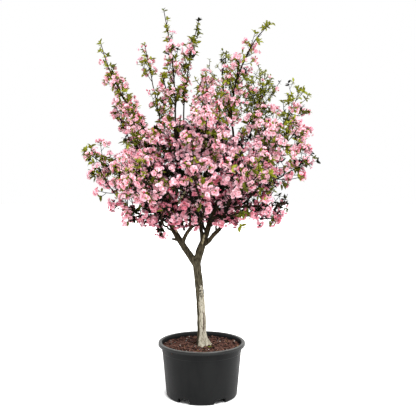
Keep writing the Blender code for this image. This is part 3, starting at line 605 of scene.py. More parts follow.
def turns_for(ways, rolls):
    """Turns that stand +Z along each way, with +Y as near to upwards as that allows."""
    ways = unit_vectors(np.asarray(ways, float))
    steep = np.abs(ways[:, 2:3]) > STEEP
    guide = np.where(steep, [[0.0, 1.0, 0.0]], [[0.0, 0.0, 1.0]])
    across = unit_vectors(np.cross(guide, ways))
    upward = np.cross(ways, across)
    cos, sin = np.cos(rolls)[:, None], np.sin(rolls)[:, None]
    return np.stack([across * cos + upward * sin, upward * cos - across * sin, ways], axis=2)


def joined(name, groups, value_name=None):
    """One mesh from groups of copies: a unit, and for each copy its place, turn and size."""
    all_points, all_faces, all_values, start = [], [], [], 0
    for (points, faces, values), places, turns, sizes in groups:
        count = len(places)
        if not count:
            continue
        moved = np.einsum("nij,nvj->nvi", turns, points[None] * sizes[:, None, :]) + places[:, None, :]
        all_points.append(moved.reshape(-1, 3))
        shift = start + np.arange(count) * len(points)
        all_faces.append((faces[None] + shift[:, None, None]).reshape(-1, 3))
        all_values.append(np.tile(values, count))
        start += count * len(points)
    points, faces = np.concatenate(all_points), np.concatenate(all_faces)
    mesh = bpy.data.meshes.new(name)
    mesh.vertices.add(len(points))
    mesh.vertices.foreach_set("co", points.astype(np.float32).ravel())
    mesh.loops.add(faces.size)
    mesh.loops.foreach_set("vertex_index", faces.astype(np.int32).ravel())
    mesh.polygons.add(len(faces))
    mesh.polygons.foreach_set("loop_start", np.arange(0, faces.size, 3, dtype=np.int32))
    mesh.update(calc_edges=True)
    mesh.validate()
    if value_name:
        layer = mesh.attributes.new(value_name, "FLOAT", "POINT")
        layer.data.foreach_set("value", np.concatenate(all_values).astype(np.float32))
    return mesh


# %% Shapes of chips, grains and moss
CHIP_LENGTH = (0.009, 0.026)
CHIP_BREADTH = (0.35, 0.65)
CHIP_THICKNESS = (0.16, 0.34)
CHIP_PINCH = 0.55
CHIP_ENDS_FROM = 0.3
CHIP_SIDES, CHIP_FACES, CHIP_ENDS = (0.7, 1.1), (0.6, 1.2), (0.8, 1.1)
GRAIN_LUMPS, GRAIN_LUMP_SCALE = 0.35, 3
BLADE_RADIUS = 0.22
RIM_CLEAR = 0.006
SPOT_LIFTS = (-1.0, 1.6)


def chip_unit(rng):
    """A chip of bark: a cube cut across, with ends drawn in unevenly."""
    bm = bmesh.new()
    bmesh.ops.create_cube(bm, size=1.0)
    long_edges = [e for e in bm.edges if abs(e.verts[0].co.x - e.verts[1].co.x) > 0.5]
    bmesh.ops.subdivide_edges(bm, edges=long_edges, cuts=1)
    for vert in bm.verts:
        pinch = CHIP_PINCH if abs(vert.co.x) > CHIP_ENDS_FROM else 1.0
        vert.co.y *= pinch * rng.uniform(*CHIP_SIDES)
        vert.co.z *= pinch * rng.uniform(*CHIP_FACES)
        vert.co.x *= rng.uniform(*CHIP_ENDS)
    return unit_from(bm)


def strewn(rng, count, lift, clear):
    """Places on the compost, spread evenly over its area but clear of the trunk."""
    spots = []
    edge = soil_radius(SOIL_LEVEL) - RIM_CLEAR
    while len(spots) < count:
        out, turn = edge * math.sqrt(rng.random()), rng.uniform(0, math.tau)
        spot = (out * math.cos(turn), out * math.sin(turn))
        if out > clear:
            spots.append((*spot, soil_height(spot) + lift * rng.uniform(*SPOT_LIFTS)))
    return np.array(spots)


def lying(rng, count, slope):
    """Turns of things that lie flat, give or take a slope."""
    ways = np.array([(rng.gauss(0, slope), rng.gauss(0, slope), 1.0) for _ in range(count)])
    return turns_for(ways, np.array([rng.uniform(0, math.tau) for _ in range(count)]))


def chip_sizes(rng, count, lengths=CHIP_LENGTH):
    """Length, breadth and thickness of each chip."""
    sizes = []
    for _ in range(count):
        length = rng.uniform(*lengths)
        breadth = length * rng.uniform(*CHIP_BREADTH)
        sizes.append((length, breadth, length * rng.uniform(*CHIP_THICKNESS)))
    return np.array(sizes)


def grain_unit():
    bm = bmesh.new()
    bmesh.ops.create_icosphere(bm, subdivisions=1, radius=1.0)
    for vert in bm.verts:
        vert.co *= 1 + GRAIN_LUMPS * noise.noise(vert.co * GRAIN_LUMP_SCALE)
    return unit_from(bm)


def blade_unit():
    """A blade of moss, three-sided and pointed."""
    bm = bmesh.new()
    bmesh.ops.create_cone(bm, cap_ends=True, segments=3, radius1=BLADE_RADIUS, radius2=0.0,
                          depth=1.0, matrix=Matrix.Translation((0, 0, 0.5)))
    return unit_from(bm)


# %% What lies on the compost
CHIPS = 1900
CHIP_SHAPES = 6
CHIP_LIFT, CHIP_CLEAR, CHIP_SLOPE = 0.0026, 0.028, 0.35
PERLITE = 40
PERLITE_SIZE = (0.0013, 0.0028)
PERLITE_SLOPE = 0.5
SPLINTERS = 26
SPLINTER_LENGTH = (0.006, 0.014)
SPLINTER_SCALE = (1.0, 0.35, 0.5)
SPLINTER_SLOPE = 0.3
TOP_LIFT, TOP_CLEAR, ON_TOP = 0.001, 0.035, (0, 0, 0.004)
MOSS_PLACE = (0.034, -0.038)
MOSS_SPREAD = (0.011, 0.007)
MOSS_BLADES = 420
MOSS_LEVELS = (-0.002, 0.003)
MOSS_LENGTH = (0.003, 0.006)
MOSS_SLOPE = 0.6

soil_rng = random.Random("compost")
chip_groups = []
for _ in range(CHIP_SHAPES):
    count = CHIPS // CHIP_SHAPES
    chip_groups.append((chip_unit(soil_rng), strewn(soil_rng, count, CHIP_LIFT, CHIP_CLEAR),
                        lying(soil_rng, count, CHIP_SLOPE), chip_sizes(soil_rng, count)))
grain_sizes = np.array([[soil_rng.uniform(*PERLITE_SIZE)] * 3 for _ in range(PERLITE)])
perlite_group = [(grain_unit(), strewn(soil_rng, PERLITE, TOP_LIFT, TOP_CLEAR) + ON_TOP,
                  lying(soil_rng, PERLITE, PERLITE_SLOPE), grain_sizes)]
splinter_sizes = chip_sizes(soil_rng, SPLINTERS, SPLINTER_LENGTH) * SPLINTER_SCALE
splinter_group = [(chip_unit(soil_rng), strewn(soil_rng, SPLINTERS, TOP_LIFT, TOP_CLEAR) + ON_TOP,
                   lying(soil_rng, SPLINTERS, SPLINTER_SLOPE), splinter_sizes)]
moss_places = np.array([
    (soil_rng.gauss(MOSS_PLACE[0], MOSS_SPREAD[0]), soil_rng.gauss(MOSS_PLACE[1], MOSS_SPREAD[1]),
     SOIL_LEVEL + soil_rng.uniform(*MOSS_LEVELS)) for _ in range(MOSS_BLADES)])
moss_sizes = np.array([[soil_rng.uniform(*MOSS_LENGTH)] * 3 for _ in range(MOSS_BLADES)])
moss_group = [(blade_unit(), moss_places, lying(soil_rng, MOSS_BLADES, MOSS_SLOPE), moss_sizes)]
print("chips:", CHIPS, "grains:", PERLITE, "blades of moss:", MOSS_BLADES)

# %% Finishes of the compost
CHIP_DARK = paint(26, 17, 14)
CHIP_RED = paint(112, 78, 67)
CHIP_PALE = paint(176, 140, 120)
BED_DARK = paint(20, 13, 11)
BED_BROWN = paint(44, 30, 25)
PERLITE_WHITE = paint(226, 224, 216)
PERLITE_GREY = paint(186, 184, 176)
STRAW = paint(190, 160, 96)
STRAW_BROWN = paint(140, 104, 62)
MOSS_GREEN = paint(140, 156, 46)
MOSS_DARK = paint(84, 100, 26)
EVEN_SPECKS = (0.38, 0.62)
RARE_SPECKS = (0.60, 0.70)
WIDE_SPECKS = (0.3, 0.7)
RARE_FINER, GLOSS_FINER, GRAIN_FINER = 1.7, 3, 6
GLOSS_VARIES = 0.08


def speckled_finish(name, dark, light, scale, roughness, depth, third=None):
    """A matt finish between two colours in small patches, with a third in rarer ones."""
    made, tree, shader, place = new_finish(name)
    colour = blend_of(tree, mottled(tree, place, scale, *EVEN_SPECKS), dark, light)
    if third:
        rare = mottled(tree, place, scale * RARE_FINER, *RARE_SPECKS)
        colour = blend_of(tree, rare, colour, third)
    tree.links.new(colour, shader.inputs["Base Color"])
    cloud = mottled(tree, place, scale * GLOSS_FINER, *WIDE_SPECKS)
    rough = put(tree, "ShaderNodeMapRange", {
        "Value": cloud, "To Min": roughness - GLOSS_VARIES, "To Max": roughness})
    tree.links.new(rough.outputs[0], shader.inputs["Roughness"])
    tree.links.new(relief(tree, place, scale * GRAIN_FINER, depth), shader.inputs["Normal"])
    return made


bed_mesh = mesh_from(compost_bed(), "compost bed")
bed_mesh.shade_smooth()
bed_finish = speckled_finish("dark compost", BED_DARK, BED_BROWN,
                             scale=90.0, roughness=0.95, depth=0.002)
chip_finish = speckled_finish("chipped bark", CHIP_DARK, CHIP_RED,
                              scale=62.0, roughness=0.9, depth=0.0015, third=CHIP_PALE)
grain_finish = speckled_finish("white perlite", PERLITE_GREY, PERLITE_WHITE,
                               scale=300.0, roughness=0.9, depth=0.0005)
straw_finish = speckled_finish("straw", STRAW_BROWN, STRAW, scale=200.0, roughness=0.8, depth=0.0005)
moss_finish = speckled_finish("green moss", MOSS_DARK, MOSS_GREEN,
                              scale=220.0, roughness=0.85, depth=0.0005)
finish_piece("compost_bed", bed_mesh, bed_finish, ["soil"])
finish_piece("bark_chips", joined("bark chips", chip_groups), chip_finish)
finish_piece("perlite", joined("perlite", perlite_group), grain_finish)
finish_piece("straw_splinters", joined("straw splinters", splinter_group), straw_finish)
finish_piece("moss", joined("moss", moss_group), moss_finish)

# %% [markdown]
# ## The plant's own plan
# The limbs and masses follow the plan of the CAD model: each row names a bough, the limb that
# bears it, where it leaves that limb, its tip, bow and radii, and then its mass of foliage with
# its far end, reach and share of blossom, and for some how much the stem curls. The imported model
# holds only the solids, so the rows are given again here and worked into lines by the same rule.

# %% Plan of the boughs
CURL = 0.15
Branch = namedtuple("Branch", "name parent at tip bow radius end reach blossom curl", defaults=(CURL,))

BRANCHES = (
    Branch("left", "trunk", 0.95, (-0.195, -0.02, 0.990), (-0.040, 0.0, 0.006), (0.0195, 0.0122),
           (-0.105, -0.08, 1.440), 0.150, 0.85),
    Branch("right", "trunk", 0.96, (0.108, 0.02, 1.055), (-0.016, 0.0, 0.0), (0.0198, 0.0102),
           (0.020, -0.07, 1.640), 0.135, 0.90),
    Branch("inner_front", "left", 0.31, (-0.004, -0.19, 0.917), (-0.056, 0.0, 0.002),
           (0.0102, 0.0060), (-0.035, -0.43, 1.140), 0.150, 0.90),
    Branch("inner_left", "left", 0.92, (-0.060, -0.09, 1.118), (0.010, -0.02, -0.085),
           (0.0078, 0.0052), (-0.040, -0.27, 1.270), 0.120, 0.75),
    Branch("left_low", "left", 0.70, (-0.290, -0.05, 0.925), (0.010, 0.0, 0.012),
           (0.0082, 0.0055), (-0.512, -0.07, 1.150), 0.120, 0.80),
    Branch("left_under", "left", 0.58, (-0.197, -0.10, 0.890), (-0.01, -0.02, -0.010),
           (0.0065, 0.0048), (-0.175, -0.31, 0.995), 0.102, 0.85),
    Branch("left_front", "left", 0.64, (-0.180, -0.18, 1.000), (0.020, -0.05, -0.030),
           (0.0075, 0.0052), (-0.330, -0.472, 1.150), 0.150, 0.85),
    Branch("left_back", "left", 0.74, (-0.215, 0.17, 1.010), (0.0, 0.05, -0.040), (0.0075, 0.0052),
           (-0.350, 0.45, 1.170), 0.165, 0.70),
    Branch("left_side", "left", 0.80, (-0.290, 0.01, 1.040), (-0.010, 0.01, -0.020),
           (0.0078, 0.0052), (-0.582, 0.00, 1.242), 0.116, 0.65, 0.0),
    Branch("left_breast", "left", 0.88, (-0.235, -0.12, 1.130), (0.010, -0.07, -0.040),
           (0.0062, 0.0048), (-0.310, -0.26, 1.310), 0.118, 0.85),
    Branch("left_spire", "left", 0.84, (-0.250, 0.0, 1.240), (-0.070, 0.04, -0.040),
           (0.0085, 0.0058), (-0.495, -0.07, 1.795), 0.090, 0.60),
    Branch("left_shoulder", "left_spire", 0.42, (-0.310, 0.10, 1.180), (0.0, 0.03, -0.020),
           (0.0055, 0.0045), (-0.440, 0.14, 1.480), 0.100, 0.70),
    Branch("second_spire", "left_spire", 0.72, (-0.214, 0.08, 1.335), (0.030, 0.02, 0.0),
           (0.0052, 0.0042), (-0.305, 0.05, 1.815), 0.088, 0.45),
    Branch("middle", "right", 0.27, (-0.115, 0.06, 1.170), (0.046, 0.02, -0.020), (0.0115, 0.0068),
           (-0.188, -0.01, 1.965), 0.082, 0.60),
    Branch("fourth_spire", "middle", 0.62, (-0.080, 0.09, 1.260), (0.030, 0.02, 0.0),
           (0.0062, 0.0048), (-0.035, 0.02, 1.925), 0.080, 0.60, -0.06),
    Branch("right_low", "right", 0.25, (0.140, -0.07, 0.945), (0.014, -0.01, -0.028),
           (0.0138, 0.0085), (0.415, -0.11, 0.990), 0.120, 0.80),
    Branch("right_under", "right_low", 0.45, (0.100, -0.14, 0.914), (-0.020, -0.01, 0.010),
           (0.0060, 0.0048), (0.195, -0.31, 0.965), 0.110, 0.85),
    Branch("right_front", "right", 0.50, (0.135, -0.18, 1.000), (0.030, -0.05, -0.020),
           (0.0080, 0.0052), (0.260, -0.472, 1.150), 0.155, 0.85),
    Branch("right_side", "right", 0.62, (0.275, -0.01, 1.050), (0.030, 0.0, -0.040),
           (0.0080, 0.0052), (0.566, -0.01, 1.242), 0.130, 0.75),
    Branch("right_back", "right", 0.56, (0.165, 0.18, 1.010), (0.020, 0.05, -0.030),
           (0.0080, 0.0052), (0.370, 0.45, 1.170), 0.165, 0.70),
    Branch("back", "right", 0.42, (-0.010, 0.18, 0.940), (0.0, 0.04, -0.030), (0.0085, 0.0055),
           (0.010, 0.490, 1.085), 0.180, 0.75),
    Branch("back_top", "back", 0.62, (-0.050, 0.18, 1.160), (-0.02, 0.01, 0.0), (0.0058, 0.0048),
           (-0.060, 0.34, 1.540), 0.145, 0.55),
    Branch("front_top", "right", 0.84, (0.020, -0.14, 1.150), (0.010, -0.06, -0.030),
           (0.0062, 0.0048), (0.020, -0.33, 1.420), 0.145, 0.85),
    Branch("right_breast", "right", 0.78, (0.205, -0.12, 1.130), (0.030, -0.05, -0.020),
           (0.0062, 0.0048), (0.455, -0.22, 1.345), 0.145, 0.80),
    Branch("right_spire", "right", 0.70, (0.155, 0.02, 1.430), (0.105, 0.06, -0.080),
           (0.0085, 0.0055), (0.350, -0.06, 1.905), 0.085, 0.75, -0.25),
    Branch("right_shoulder", "right_spire", 0.36, (0.300, 0.05, 1.240), (0.030, 0.01, -0.030),
           (0.0058, 0.0048), (0.492, 0.09, 1.595), 0.140, 0.55),
    Branch("green_fan", "right_spire", 0.52, (0.150, 0.17, 1.340), (0.0, 0.03, 0.0),
           (0.0055, 0.0042), (0.115, 0.29, 1.780), 0.130, 0.04),
    Branch("green_side", "right_spire", 0.66, (0.245, 0.13, 1.370), (0.0, 0.03, 0.0),
           (0.0052, 0.0042), (0.350, 0.20, 1.700), 0.140, 0.04),
)

# %% Lines of the trunk and the boughs
GAP = 0.0003
TRUNK_FOOT = Vector((0.0, 0.0, SOIL_LEVEL + GAP))
TRUNK_FORK = Vector((-0.029, 0.0, 0.686))
TRUNK_BOW = Vector((0.018, 0.0, 0.0))
TRUNK_FOOT_RADIUS = 0.0250
TRUNK_FORK_RADIUS = 0.0210
TRUNK_RINGS = 9
TRUNK_CROWDING = 1.5
TRUNK_TAPER_POWER = 0.7
BOUGH_RINGS = 6
BOUGH_TAPER_POWER = 0.8
KINK = 0.004
BASE_SHARE = 0.95
STUB_AT = 0.43
STUB_TIP = Vector((-0.156, 0.02, 0.801))
STUB_RADIUS = (0.0075, 0.0055)


def bow_point(start, end, bow, share):
    """A point on the bowed line from start to end."""
    control = (start + end) / 2 + bow
    return start.lerp(control, share).lerp(control.lerp(end, share), share)


def along(path, share):
    """The point at this share of a path's length."""
    lengths = [(b - a).length for a, b in zip(path, path[1:])]
    left = share * sum(lengths)
    for start, end, length in zip(path, path[1:], lengths):
        if left <= length:
            return start.lerp(end, left / length)
        left -= length
    return path[-1].copy()


def trunk_line():
    """Centres and radii of the trunk, closer together at its foot, which rises upright."""
    centres, radii = [], []
    for ring in range(TRUNK_RINGS):
        share = (ring / (TRUNK_RINGS - 1)) ** TRUNK_CROWDING
        centres.append(bow_point(TRUNK_FOOT, TRUNK_FORK, TRUNK_BOW, share))
        taper = share ** TRUNK_TAPER_POWER
        radii.append(TRUNK_FOOT_RADIUS + (TRUNK_FORK_RADIUS - TRUNK_FOOT_RADIUS) * taper)
    centres[1].x = centres[0].x
    centres[1].y = centres[0].y
    return centres, radii


def bough_line(branch, lines):
    """Centres and radii of a bough, which starts inside its parent and has slight kinks."""
    rng = random.Random(branch.name)
    parent_centres, parent_radii = lines[branch.parent]
    start = along(parent_centres, branch.at)
    thickest = BASE_SHARE * parent_radii[int(branch.at * (len(parent_radii) - 1))]
    base, slim = min(branch.radius[0], thickest), branch.radius[1]
    end, bow = Vector(branch.tip), Vector(branch.bow)
    centres, radii = [], []
    for ring in range(BOUGH_RINGS):
        share = ring / (BOUGH_RINGS - 1)
        kink = Vector([rng.uniform(-KINK, KINK) for _ in range(3)])
        inner = 0 < ring < BOUGH_RINGS - 1
        centres.append(bow_point(start, end, bow, share) + kink * inner)
        radii.append(base + (slim - base) * share ** BOUGH_TAPER_POWER)
    return centres, radii


lines = {"trunk": trunk_line()}
for branch in BRANCHES:
    lines[branch.name] = bough_line(branch, lines)
print("limbs planned:", len(lines))

# %% [markdown]
# ## The wood
# A limb could be a curve with a bevel, but a tree's forks swell smoothly into each other. So
# each limb is a circle that is extruded from point to point along its line, and then all of
# them are melted into one skin by a voxel remesh, which is what gives the collars at the
# forks. The bark's ridges are real relief: every point is moved in or out by noise that is
# drawn out along the height, as fissures are.

# %% A limb as an extruded circle
LINE_STEPS = 4
UPRIGHT = 1e-4


def smooth_line(points, values):
    """A curve through the points, with the values that go with them."""
    made, made_values = [], []
    padded = [points[0] * 2 - points[1], *points, points[-1] * 2 - points[-2]]
    for i in range(len(points) - 1):
        a, b, c, d = padded[i:i + 4]
        for step in range(LINE_STEPS):
            t = step / LINE_STEPS
            made.append(0.5 * (2 * b + (c - a) * t + (2 * a - 5 * b + 4 * c - d) * t ** 2
                               + (3 * b - a - 3 * c + d) * t ** 3))
            made_values.append(values[i] + (values[i + 1] - values[i]) * t)
    return made + [points[-1].copy()], made_values + [values[-1]]


def ring_frames(path, radii):
    """A frame for each point of a path, turned as little as can be from one to the next."""
    across = UP.cross(path[1] - path[0])
    across = across.normalized() if across.length > UPRIGHT else Vector((1.0, 0.0, 0.0))
    frames = []
    for i, (centre, radius) in enumerate(zip(path, radii)):
        way = (path[min(i + 1, len(path) - 1)] - path[max(i - 1, 0)]).normalized()
        across = (across - way * across.dot(way)).normalized()
        beside = way.cross(across)
        turn = Matrix((across, beside, way)).transposed().to_4x4()
        frames.append(Matrix.Translation(centre) @ turn @ Matrix.Diagonal((radius, radius, 1.0, 1.0)))
    return frames


def extrude_limb(bm, path, radii, sides):
    """A circle extruded along the path and closed at both ends. Gives back its points."""
    frames = ring_frames(path, radii)
    ring = bmesh.ops.create_circle(
        bm, cap_ends=True, segments=sides, radius=1.0, matrix=frames[0])["verts"]
    edges = list(dict.fromkeys(edge for vert in ring for edge in vert.link_edges))
    made = list(ring)
    for before, after in zip(frames, frames[1:]):
        grown = bmesh.ops.extrude_edge_only(bm, edges=edges)["geom"]
        ring = [item for item in grown if isinstance(item, bmesh.types.BMVert)]
        edges = [item for item in grown if isinstance(item, bmesh.types.BMEdge)]
        bmesh.ops.transform(bm, matrix=after @ before.inverted(), verts=ring)
        made += ring
    bmesh.ops.holes_fill(bm, edges=edges, sides=0)
    return made


# %% [markdown]
# ### Trunk, boughs and root flare
# At its foot the trunk spreads into ridges, more on one side. On two boughs the wood swells
# where limbs leave it, and one small limb and a dead stub stand out low on the left. The voxels
# are small enough to keep the stub and fine enough for the bark that follows.

# %% Trunk, boughs and root flare
TRUNK_SIDES = 32
BOUGH_SIDES = 16
TRUNK_SINK = 0.006
FLARE_HEIGHT = 0.070
FLARE = 1.15
FLARE_RIDGES = 3
FLARE_TURN = math.radians(12)
FLARE_RIDGE_DEPTH = (0.6, 0.4)
FLARE_LEAN = (0.78, 0.42)
WOOD_VOXEL = 0.0026
SWELLS = {"right": (0.745, 0.042, 0.26), "inner_front": (0.865, 0.080, 0.30)}
SIDE_LIMB = ((-0.087, -0.060, 0.850), (-0.100, -0.066, 0.885), (-0.114, -0.074, 0.925),
             (-0.118, -0.085, 0.970))
SIDE_LIMB_RADII = (0.0070, 0.0070, 0.0048, 0.0048)
FORK_SMOOTHING = 4


def flare_foot(verts):
    """Pushes the trunk's lowest rings out into root ridges, widest towards +X."""
    for vert in verts:
        height = max(0.0, vert.co.z - TRUNK_FOOT.z)
        if height > FLARE_HEIGHT:
            continue
        turn = math.atan2(vert.co.y, vert.co.x)
        even, wave = FLARE_RIDGE_DEPTH
        ridge = even + wave * math.cos(FLARE_RIDGES * (turn - FLARE_TURN))
        ridge *= FLARE_LEAN[0] + FLARE_LEAN[1] * math.cos(turn)
        push = 1 + FLARE * ridge * (1 - height / FLARE_HEIGHT) ** 2
        vert.co.x *= push
        vert.co.y *= push


def wood_skin():
    """Trunk, boughs, one small side limb and the broken stub, still run into each other."""
    bm = bmesh.new()
    centres, radii = smooth_line(*lines["trunk"])
    centres = [TRUNK_FOOT - UP * TRUNK_SINK] + centres
    trunk = extrude_limb(bm, centres, [radii[0]] + radii, TRUNK_SIDES)
    flare_foot(trunk)
    for branch in BRANCHES:
        centres, radii = smooth_line(*lines[branch.name])
        if branch.name in SWELLS:
            height, span, share = SWELLS[branch.name]
            radii = [radius * (1 + share * math.exp(-((centre.z - height) / span) ** 2))
                     for centre, radius in zip(centres, radii)]
        extrude_limb(bm, centres, radii, BOUGH_SIDES)
    side_limb = [Vector(place) for place in SIDE_LIMB]
    extrude_limb(bm, *smooth_line(side_limb, SIDE_LIMB_RADII), BOUGH_SIDES)
    start = along(lines["left"][0], STUB_AT)
    extrude_limb(bm, [start, start.lerp(STUB_TIP, 0.5), STUB_TIP],
                 [STUB_RADIUS[0], *STUB_RADIUS], BOUGH_SIDES)
    bmesh.ops.recalc_face_normals(bm, faces=bm.faces)
    return mesh_from(bm, "wood")


wood = applied(wood_skin(), [
    ("REMESH", {"mode": "VOXEL", "voxel_size": WOOD_VOXEL, "use_smooth_shade": True}),
    ("SMOOTH", {"factor": 0.5, "iterations": FORK_SMOOTHING}),
])
print("wood points:", len(wood.vertices))

# %% The pale zone low on the trunk
PALE_TOP = 0.553
# the cream stops short of the trunk's left side, whose darker bark there is partly painted shade
PALE_FROM = math.radians(-24)
PALE_TO = math.radians(165)
PALE_SOFTNESS = 0.020
PALE_WAVE = (0.022, 1.5, 0.4)
PALE_RAG = (0.034, 75)
PALE_DROP = 0.10
DROPS_LEFT_OF = 0.15
SIDE_RAG = (0.35, 55)
SIDE_RAG_DRAWN = 0.4
SIDE_SOFTNESS = 0.3
PALE_LOOK_UP_TO = PALE_TOP + 0.1


def trunk_centre(height):
    share = min(1.0, max(0.0, (height - TRUNK_FOOT.z) / (TRUNK_FORK.z - TRUNK_FOOT.z)))
    return bow_point(TRUNK_FOOT, TRUNK_FORK, TRUNK_BOW, share)


def paleness(place):
    """Above 0 in the pale zone low on the trunk: its front and right, up to a ragged edge."""
    side = place - trunk_centre(place.z)
    turn = math.atan2(side.x, -side.y)
    wave, waves, start = PALE_WAVE
    rag, finer = PALE_RAG
    rise = wave * math.sin(turn * waves + start) + rag * noise.noise(place * finer)
    rise -= PALE_DROP * max(0.0, DROPS_LEFT_OF - turn)
    top = (PALE_TOP + rise - place.z) / PALE_SOFTNESS
    rag, finer = SIDE_RAG
    ragged = rag * noise.noise(Vector((place.x, place.y, place.z * SIDE_RAG_DRAWN)) * finer)
    left = (turn - PALE_FROM + ragged) / SIDE_SOFTNESS
    right = (PALE_TO + ragged - turn) / SIDE_SOFTNESS
    return max(-1.0, min(1.0, top, left, right))


def keep_values(mesh, name, values):
    """Keeps one value for each point of a mesh, which a finish can look up by name."""
    mesh.attributes.new(name, "FLOAT", "POINT").data.foreach_set("value", values)


keep_values(wood, "pale", [paleness(vert.co) if vert.co.z < PALE_LOOK_UP_TO else -1.0
                           for vert in wood.vertices])

# %% Where the outer bark has split away
LIGHT_BOUGH = "inner_left"
LIGHT_FROM = 7
LIGHT_REACH = 2.2
LIGHT_STRETCH = 0.6
PEEL_STRENGTH = 1.6
SCARS = ((Vector((0.009, -0.014, 0.820)), 0.010), (Vector((0.007, -0.014, 0.800)), 0.008),
         (Vector((0.005, -0.012, 0.784)), 0.007), (Vector((-0.131, -0.014, 0.846)), 0.010),
         (Vector((-0.140, -0.014, 0.858)), 0.008))


def peeling():
    """Light brown bark: along the inner bough, and where bark has split away on two others."""
    points = np.array([vert.co[:] for vert in wood.vertices])
    path, radii = smooth_line(*lines[LIGHT_BOUGH])
    spots = [(centre, radius * LIGHT_REACH)
             for centre, radius in zip(path[LIGHT_FROM:], radii[LIGHT_FROM:])]
    share = np.zeros(len(points))
    for centre, reach in spots + list(SCARS):
        away = points - np.array(centre)
        away[:, 2] *= LIGHT_STRETCH
        share = np.maximum(share, PEEL_STRENGTH * (1 - np.linalg.norm(away, axis=1) / reach))
    return np.clip(share, 0.0, 1.0)


keep_values(wood, "peeled", peeling())

# %% Relief of the bark
RIDGE_SCALE = Vector((150.0, 150.0, 34.0))
RIDGE_DEPTH = 0.0011
LUMP_SCALE = 34.0
LUMP_DEPTH = 0.0010


def bark_push(place):
    """How far the bark stands out at a place."""
    ridges = noise.noise(Vector(a * b for a, b in zip(place, RIDGE_SCALE)))
    return RIDGE_DEPTH * ridges + LUMP_DEPTH * noise.noise(place * LUMP_SCALE)


pushes = [vert.normal * bark_push(vert.co) for vert in wood.vertices]
for vert, push in zip(wood.vertices, pushes):
    if vert.co.z > SOIL_LEVEL:
        vert.co += push
print("bark relief in mm:", round(1000 * max(push.length for push in pushes), 2))

# %% [markdown]
# ### Bark
# Low on the trunk the bark is a smooth cream, with grey clouds, dark flecks and one thin
# reddish crack. Above a ragged edge it is grey-brown, and the boughs darken to nearly black
# with height, a painted shade from the crown over them.
# The cream zone is a value kept with the mesh, so it keeps its place on the trunk from every
# side. So is the light brown of the inner bough and of two scars, where the outer bark has
# split away.

# %% Colours of the wood, and the mask of its crack
BARK_GREY = paint(96, 90, 73)
BARK_BROWN = paint(46, 41, 31)
BOUGH_DARK = paint(18, 13, 7)
BOUGH_BROWN = paint(56, 45, 29)
BOUGH_PALE = paint(116, 100, 70)
CREAM = paint(190, 184, 166)
CREAM_GREY = paint(136, 129, 111)
CREAM_STAIN = paint(62, 53, 40)
CRACK_RED = paint(56, 26, 22)
PEELED_BROWN = paint(202, 190, 152)
# the bark darkens between these heights: painted shade from the crown over the boughs
BOUGH_SHADE_FROM = 0.66
BOUGH_SHADE_TO = 0.90
CRACK_X = 0.0105
CRACK_HALF = 0.0036
CRACK_CORE = 0.4
CRACK_LOW = 0.318
CRACK_HIGH = 0.436
CRACK_FADE = 0.02
CRACK_FRONT = (0.0, -0.004)
CRACK_WAVER = 0.003
CRACK_WAVER_SCALE = 120.0
CRACK_DRAWN = (1.0, 1.0, 0.3)


def crack_mask(tree, place):
    """The thin upright crack on the front of the pale zone."""
    parts = put(tree, "ShaderNodeSeparateXYZ", {0: place}).outputs
    waver = put(tree, "ShaderNodeTexNoise", {
        "Vector": stretched(tree, place, CRACK_DRAWN), "Scale": CRACK_WAVER_SCALE}).outputs[0]
    centre = sum_of(tree, "MULTIPLY_ADD", waver, CRACK_WAVER)
    centre.node.inputs[2].default_value = CRACK_X - CRACK_WAVER / 2
    away = sum_of(tree, "ABSOLUTE", sum_of(tree, "SUBTRACT", parts[0], centre), 0.0)
    thin = ramp_between(tree, away, CRACK_HALF, CRACK_HALF * CRACK_CORE)
    above = ramp_between(tree, parts[2], CRACK_LOW, CRACK_LOW + CRACK_FADE)
    below = ramp_between(tree, parts[2], CRACK_HIGH, CRACK_HIGH - CRACK_FADE)
    front = ramp_between(tree, parts[1], *CRACK_FRONT)
    return sum_of(tree, "MULTIPLY", sum_of(tree, "MULTIPLY", thin, above),
                  sum_of(tree, "MULTIPLY", below, front))


# %% Finish of the wood
BARK_GLOSS = 0.04
BARK_DRAWN = (1.0, 1.0, 0.25)
STREAKS = (130.0, 0.35, 0.65)
PALE_STREAKS = (34.0, 0.60, 0.72)
SPLITS = (90.0, 0.30, 0.55)
CREAM_CLOUDS = (60.0, 0.42, 0.66)
FLECKS_DRAWN = (1.0, 1.0, 0.6)
FLECKS = (120.0, 0.55, 0.61)
FLECK_SHARE = 0.75
TORN_RISE = (PALE_TOP - 0.075, PALE_TOP - 0.015)
TORN_PATCHES = (85.0, 0.46, 0.54)
EDGE_WAVER_SCALE = 180.0
EDGE_RISE = (-0.10, 0.10)
BARK_ROUGHNESS = (0.70, 0.9)
BARK_GRAIN = (700.0, 0.0010)


